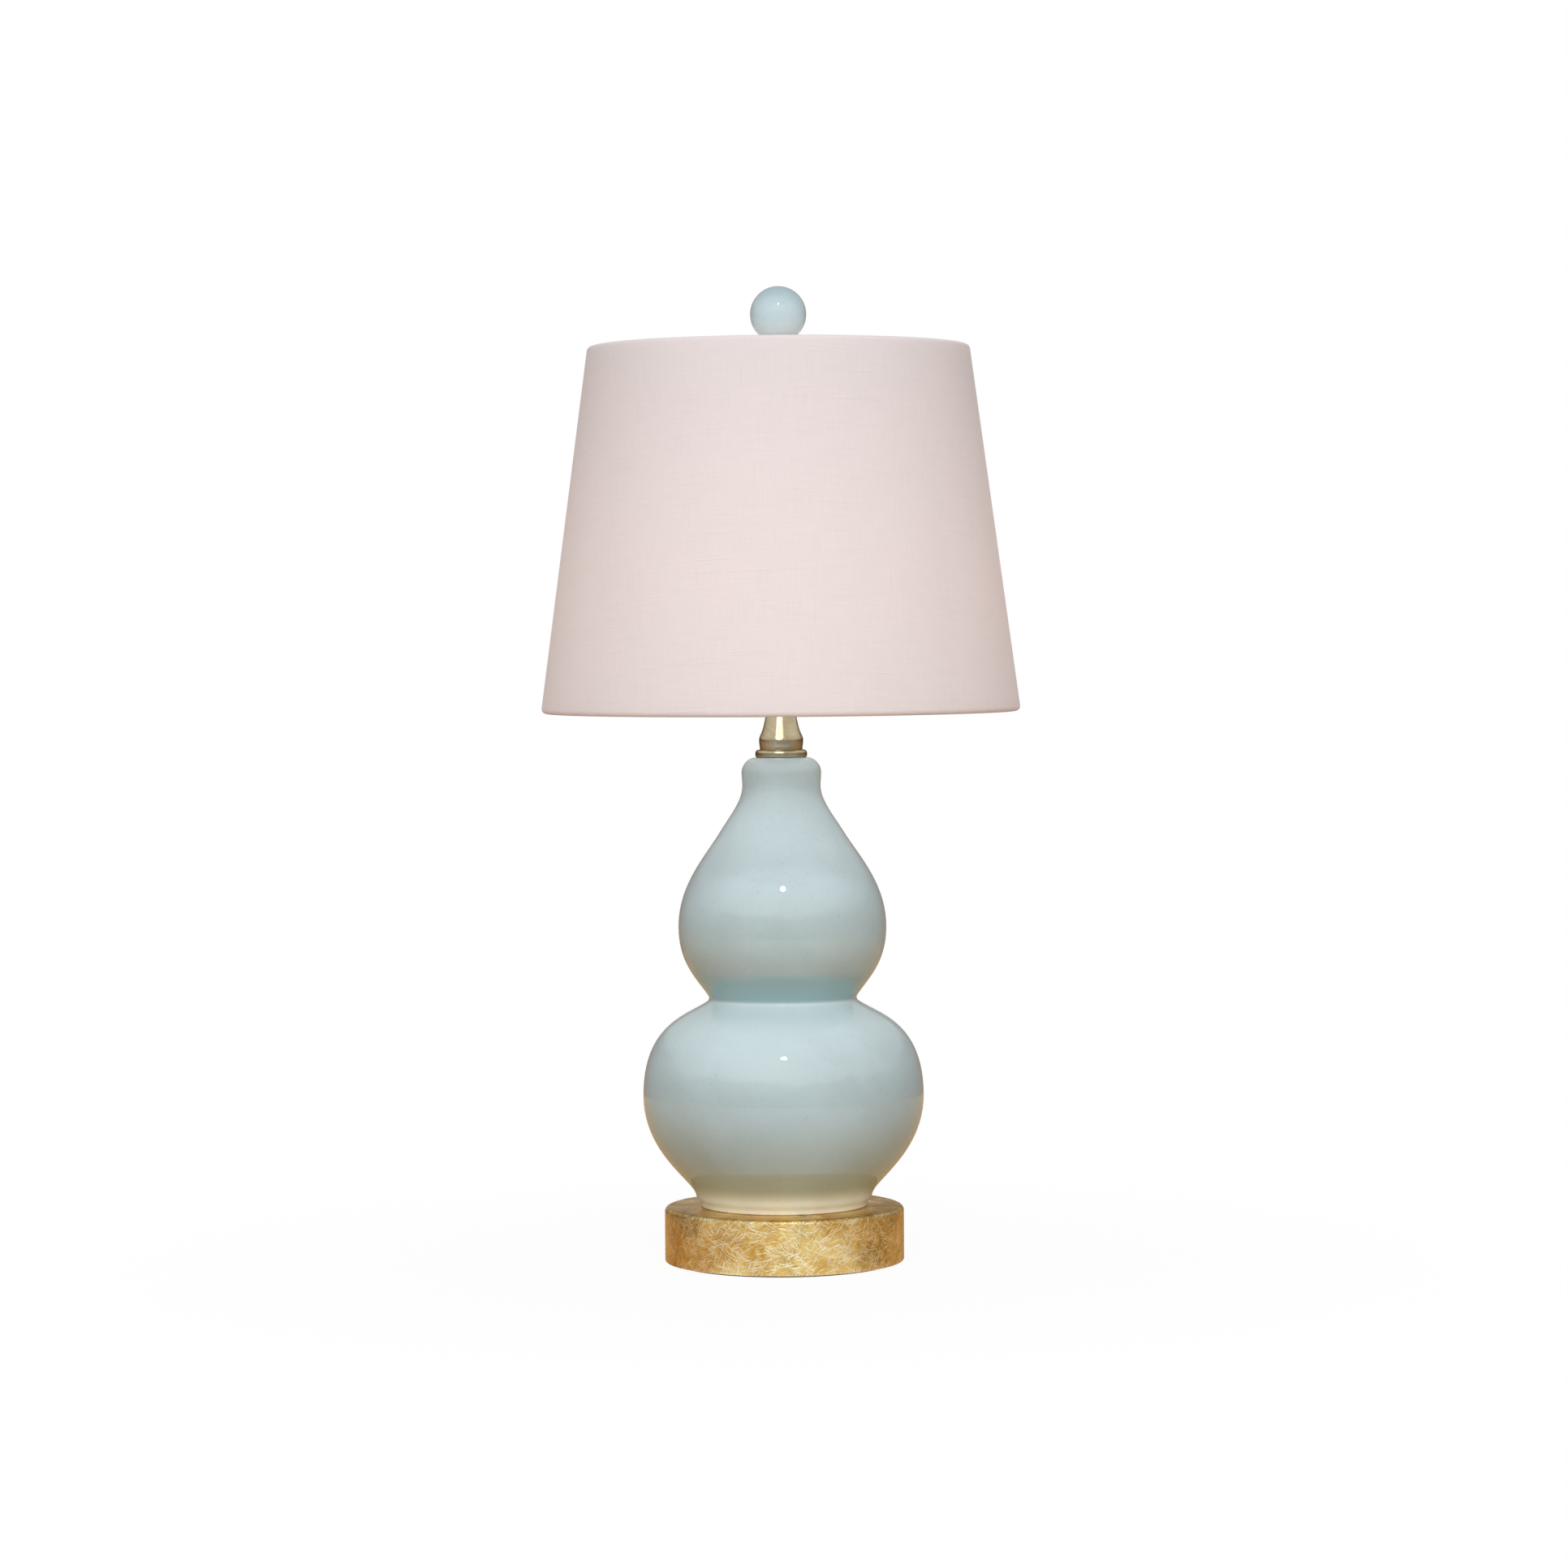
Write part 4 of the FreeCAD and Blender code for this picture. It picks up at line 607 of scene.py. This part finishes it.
def makeCover(plan):
    points, length = coverPath(plan)
    bm = bmesh.new()
    slide = bm.verts.layers.float.new("slide")
    corners = []
    travelled = 0.0
    for number, (radius, height) in enumerate(points):
        if number:
            travelled += math.dist(points[number - 1], points[number])
        vert = bm.verts.new((0, radius * mm, height * mm))   # the seam is at the back
        vert[slide] = travelled * mm
        corners.append(vert)
    edges = [bm.edges.new(pair) for pair in zip(corners, corners[1:])]
    bmesh.ops.spin(bm, geom=corners + edges, cent=(0, 0, 0), axis=(0, 0, 1), angle=math.tau,
                   steps=plan["steps"], use_merge=True)
    bmesh.ops.remove_doubles(bm, verts=bm.verts, dist=weld)
    bmesh.ops.recalc_face_normals(bm, faces=bm.faces)
    wallFace = max(bm.faces, key=lambda face: face.calc_area())
    if wallFace.normal.dot(wallFace.calc_center_median() * Vector((1, 1, 0))) < 0:
        bmesh.ops.reverse_faces(bm, faces=bm.faces)
    # the cloth is cut flat as part of a ring, so its threads lean more towards the seam
    taper = (plan["lowRing"][0] - plan["highRing"][0]) / length
    apex = plan["highRing"][0] / taper * mm
    cloth = bm.loops.layers.uv.new("cloth")
    for face in bm.faces:
        middle = face.calc_center_median()
        around = math.atan2(middle.x, -middle.y)
        for loop in face.loops:
            spot = loop.vert.co
            angle = math.atan2(spot.x, -spot.y)
            angle += math.tau * round((around - angle) / math.tau)
            far = apex + loop.vert[slide]
            loop[cloth].uv = (far * math.sin(angle * taper), 1 - far * math.cos(angle * taper))
    mesh = finishMesh(bm, "shadeCover")
    piece = addPiece("shadeCover", mesh, "linenWeave", "shade_cover", plan["sharp"])
    wall = piece.modifiers.new("thickness", "SOLIDIFY")
    wall.thickness = plan["thickness"] * mm
    wall.offset = -1.0


makeCover(cover)
print("shade cover made")


# every other node keeps its CAD shape: a merged, smoothed copy with its own finish
twins = {
    "felt_pad": "feltPad",
    "plinth": "goldLeaf",
    "cord_inlet_bushing": "blackPhenolic",
    "lamp_pipe": "zincSteel",
    "base_washer": "zincSteel",
    "base_nut": "zincSteel",
    "vase_cap": "turnedBrass",
    "harp_saddle": "turnedBrass",
    "saddle_nut": "turnedBrass",
    "socket_cap": "turnedBrass",
    "cap_set_screw": "zincSteel",
    "pipe_mouth_bushing": "whiteNylon",
    "socket_shell": "turnedBrass",
    "socket_fibre_sleeve": "fibreCard",
    "socket_body": "blackPhenolic",
    "terminal_screws": "turnedBrass",
    "socket_screw_shell": "rolledAluminium",
    "socket_contact_leaf": "turnedBrass",
    "switch_blade": "turnedBrass",
    "switch_rotor": "whiteNylon",
    "switch_shaft": "turnedBrass",
    "switch_knob": "blackPhenolic",
    "bulb_glass": "frostedGlass",
    "bulb_stem": "clearGlass",
    "bulb_filament": "tungstenWire",
    "bulb_cap": "rolledAluminium",
    "bulb_insulator": "blackVitrite",
    "bulb_contact": "rolledAluminium",
    "harp_bow": "turnedBrass",
    "harp_sleeve_left": "turnedBrass",
    "harp_sleeve_right": "turnedBrass",
    "harp_stud": "turnedBrass",
    "shade_liner": "whiteLiner",
    "shade_top_ring": "whiteWire",
    "shade_bottom_ring": "whiteWire",
    "shade_spider": "turnedBrass",
    "finial_insert": "turnedBrass",
}


def pieceName(node):
    first, *rest = node.split("_")
    return first + "".join(word.capitalize() for word in rest)


def wrapRound(bm, radius):
    # a map in metres: round the side, and straight down on faces within about 40 degrees of level
    flat = bm.loops.layers.uv.new("wrap")
    for face in bm.faces:
        middle = face.calc_center_median()
        around = math.atan2(middle.x, -middle.y)
        for loop in face.loops:
            spot = loop.vert.co
            if abs(face.normal.z) > 0.75:
                loop[flat].uv = (spot.x, spot.y)
            else:
                angle = math.atan2(spot.x, -spot.y)
                angle += math.tau * round((around - angle) / math.tau)
                loop[flat].uv = (angle * radius, spot.z)


plinthEdge = {"radius": 63.75, "top": 30.5, "cadRounding": 1.6, "rounding": 2.8}


def softenEdge(bm, plan):
    # the top edge's rounding made wider: its arc moves in and down, and keeps its turn
    old, new, slack = plan["cadRounding"], plan["rounding"], 0.01
    for vert in bm.verts:
        radius = math.hypot(vert.co.x, vert.co.y) / mm
        out = radius - (plan["radius"] - old)
        up = vert.co.z / mm - (plan["top"] - old)
        if out > -slack and up > -slack:
            moved = (plan["radius"] - new + out * new / old) / radius
            vert.co = (vert.co.x * moved, vert.co.y * moved, (plan["top"] - new + up * new / old) * mm)


def makeTwin(node, finish):
    bm = bmesh.new()
    bm.from_mesh(frame["nodes"][node].data)
    bmesh.ops.remove_doubles(bm, verts=bm.verts, dist=weld)
    if node == "plinth":
        softenEdge(bm, plinthEdge)
        wrapRound(bm, plinthEdge["radius"] * mm)
    name = pieceName(node)
    addPiece(name, finishMesh(bm, name), finish, node)


for node, finish in twins.items():
    makeTwin(node, finish)
print("carried-over pieces made:", len(twins))


# floor: white, with the lamp's own faint shadow near its foot
floorPlan = {
    "radius": 0.9, "segments": 96,
    "shadowShare": 0.05, "fadeFrom": 0.16, "fadeTo": 0.42,
    "colour": (0.85, 0.85, 0.85), "bounce": (0.42, 0.31, 0.20), "glossSides": (0.78, 0.50, 0.22),
    "frontFade": (-0.35, -0.96),
}


def makeFloor(plan):
    bm = bmesh.new()
    bmesh.ops.create_circle(bm, cap_ends=True, segments=plan["segments"], radius=plan["radius"])
    floor = bpy.data.objects.new("floor", finishMesh(bm, "floor"))
    scene.collection.objects.link(floor)
    material, tree, shader, place = startFinish("floorWhite", {"Roughness": 0.9, "Specular IOR Level": 0.1})
    path = put(tree, "LightPath").outputs
    # seen by the camera it is white; what it throws back on the lamp is a warmer, dimmer light
    colour = blendColour(tree, path["Is Camera Ray"], rgba(plan["bounce"]), rgba(plan["colour"]))
    colour = blendColour(tree, path["Is Glossy Ray"], colour, rgba(plan["glossSides"]))
    tree.links.new(colour, shader.inputs["Base Color"])
    # in the leaf and the brass it is white only in front of the lamp, as a sheet of paper there would be
    away = put(tree, "VectorMath", {0: place}, operation="LENGTH").outputs["Value"]
    toFront = calc(tree, "DIVIDE", put(tree, "SeparateXYZ", {"Vector": place}).outputs[1], away)
    front = spread(tree, toFront, *plan["frontFade"])
    gloss = times(tree, path["Is Glossy Ray"], front)
    seen = larger(tree, path["Is Camera Ray"], larger(tree, gloss, path["Is Transmission Ray"]))
    share = spread(tree, away, plan["fadeFrom"], plan["fadeTo"], 1 - plan["shadowShare"], 1.0)
    white = put(tree, "Emission", {"Color": (1, 1, 1, 1), "Strength": 1.0})
    mix = put(tree, "MixShader", {0: times(tree, seen, share), 1: shader.outputs[0], 2: white.outputs[0]})
    tree.links.new(mix.outputs[0], tree.nodes["Material Output"].inputs["Surface"])
    floor.data.materials.append(material)


makeFloor(floorPlan)


# studio: white behind for the camera and through glass, a soft light from above, a dim warm one from below
studioPlan = {
    "sky": (0.56, 0.56, 0.575), "frontLean": 0.22, "ground": (0.38, 0.31, 0.225),
    "glossSky": 1.2, "glossSkyRound": (0.50, 0.47, 0.42),
    "glossFront": (0.42, 0.41, 0.39), "glossRound": (0.24, 0.18, 0.13), "glossGround": (0.52, 0.33, 0.17),
    "horizon": 0.26, "horizonSoft": 0.035, "horizonWander": 0.42, "wanderScale": 2.6,
    # shares of a direction, backwards or upwards, over which one colour fades into the next
    "dusk": (-0.08, 0.12), "groundFade": (-0.25, 0.0), "sideFade": (-0.72, 0.2), "behindFade": (0.985, 0.997),
}


def makeStudio(plan):
    world = bpy.data.worlds.new("studio")
    scene.world = world
    world.use_nodes = True
    tree = world.node_tree
    background = tree.nodes["Background"]
    path = put(tree, "LightPath").outputs
    direction = put(tree, "TexCoord").outputs["Generated"]
    way = put(tree, "SeparateXYZ", {"Vector": direction}).outputs
    # soft light: bright above and rather more from the front, dim and warm below
    lift = calc(tree, "SUBTRACT", 1.0, times(tree, way[1], plan["frontLean"]))
    sky = put(tree, "VectorMath", {0: plan["sky"]}, operation="SCALE")
    tree.links.new(lift, sky.inputs["Scale"])
    soft = blendColour(tree, spread(tree, way[2], *plan["dusk"]), rgba(plan["ground"]), sky.outputs[0])
    # in gloss: white above a soft uneven skyline, greyer round the sides, and white right behind;
    # below the skyline grey in front and brown round the sides
    wander = calc(tree, "SUBTRACT", noise(tree, direction, plan["wanderScale"], 3.0), 0.5)
    level = plus(tree, way[2], times(tree, wander, plan["horizonWander"]))
    above = spread(tree, level, plan["horizon"] - plan["horizonSoft"], plan["horizon"] + plan["horizonSoft"])
    turned = spread(tree, way[1], *plan["sideFade"])
    high = blendColour(tree, turned, rgba([plan["glossSky"]] * 3), rgba(plan["glossSkyRound"]))
    low = blendColour(tree, spread(tree, way[2], *plan["groundFade"]), rgba(plan["glossGround"]),
                      rgba(plan["glossRound"]))
    low = blendColour(tree, turned, rgba(plan["glossFront"]), low)
    gloss = blendColour(tree, above, low, high)
    gloss = blendColour(tree, spread(tree, way[1], *plan["behindFade"]), gloss, (1, 1, 1, 1))
    colour = blendColour(tree, path["Is Glossy Ray"], soft, gloss)
    seen = larger(tree, path["Is Camera Ray"], path["Is Transmission Ray"])
    colour = blendColour(tree, seen, colour, (1, 1, 1, 1))
    tree.links.new(colour, background.inputs["Color"])
    background.inputs["Strength"].default_value = 1.0


makeStudio(studioPlan)


# lamps: a broad one in front, a dimmer one behind, and a small one that sparkles in the glaze
lamps = {
    "window": {"place": (-0.12, -2.35, 1.0), "aim": (0, 0, 0.25), "size": 1.8, "power": 22.0,
               "colour": (1, 0.99, 0.98), "inGloss": False},
    "behind": {"place": (0.4, 2.3, 1.3), "aim": (0, 0, 0.25), "size": 1.8, "power": 11.0,
               "colour": (1, 0.99, 0.98), "inGloss": False},
    "sparkle": {"place": (0.03, -1.9, 2.08), "aim": (0, 0, 0.2), "size": 0.21, "power": 7.0,
                "colour": (1, 1, 1), "inGloss": True},
}


def makeLamp(name, plan):
    data = bpy.data.lights.new(name, "AREA")
    data.shape = "DISK"
    data.size = plan["size"]
    if "tall" in plan:
        data.shape = "ELLIPSE"
        data.size_y = plan["tall"]
    data.energy = plan["power"]
    data.color = plan["colour"]
    lamp = bpy.data.objects.new(name, data)
    lamp.location = plan["place"]
    lamp.rotation_euler = (Vector(plan["aim"]) - Vector(plan["place"])).to_track_quat("-Z", "Y").to_euler()
    lamp.visible_camera = False
    lamp.visible_glossy = plan["inGloss"]
    scene.collection.objects.link(lamp)
    return lamp


for name, plan in lamps.items():
    makeLamp(name, plan)


def lightOnly(lamp, names):
    # the lamp lights only the named pieces, and only the floor stands in its way
    for kind, members in (("receiver", names), ("blocker", ("floor",))):
        group = bpy.data.collections.new(lamp.name + kind.capitalize())
        for member in members:
            group.objects.link(bpy.data.objects[member])
        setattr(lamp.light_linking, kind + "_collection", group)


# a small upright light under the shade that puts the bright streak on the neck
streak = {"place": (-0.011, -0.065, 0.325), "aim": (0, 0, 0.285), "size": 0.052, "tall": 0.08, "power": 0.017,
          "colour": (1, 0.99, 0.95), "inGloss": True}
lightOnly(makeLamp("streak", streak), ("brassNeck", "vaseCap"))

# the bulb's faint warm light: it comes from where its glass is, and nothing inside the shade blocks it
glow = {"centre": 345.0, "size": 34.0, "power": 0.26, "colour": (1.0, 0.95, 0.90),
        "reaches": ("shadeCover", "shadeLiner", "shadeTopRing", "shadeBottomRing", "shadeSpider",
                    "harpSaddle", "harpBow", "socketShell", "socketCap", "bulbGlass")}


def makeGlow(plan):
    data = bpy.data.lights.new("bulbGlow", "POINT")
    data.energy = plan["power"]
    data.color = plan["colour"]
    data.shadow_soft_size = plan["size"] * mm
    lamp = bpy.data.objects.new("bulbGlow", data)
    lamp.location = (0, 0, plan["centre"] * mm)
    lamp.visible_camera = False
    lamp.visible_glossy = False
    scene.collection.objects.link(lamp)
    lightOnly(lamp, plan["reaches"])


makeGlow(glow)
print("studio made")


print("done")
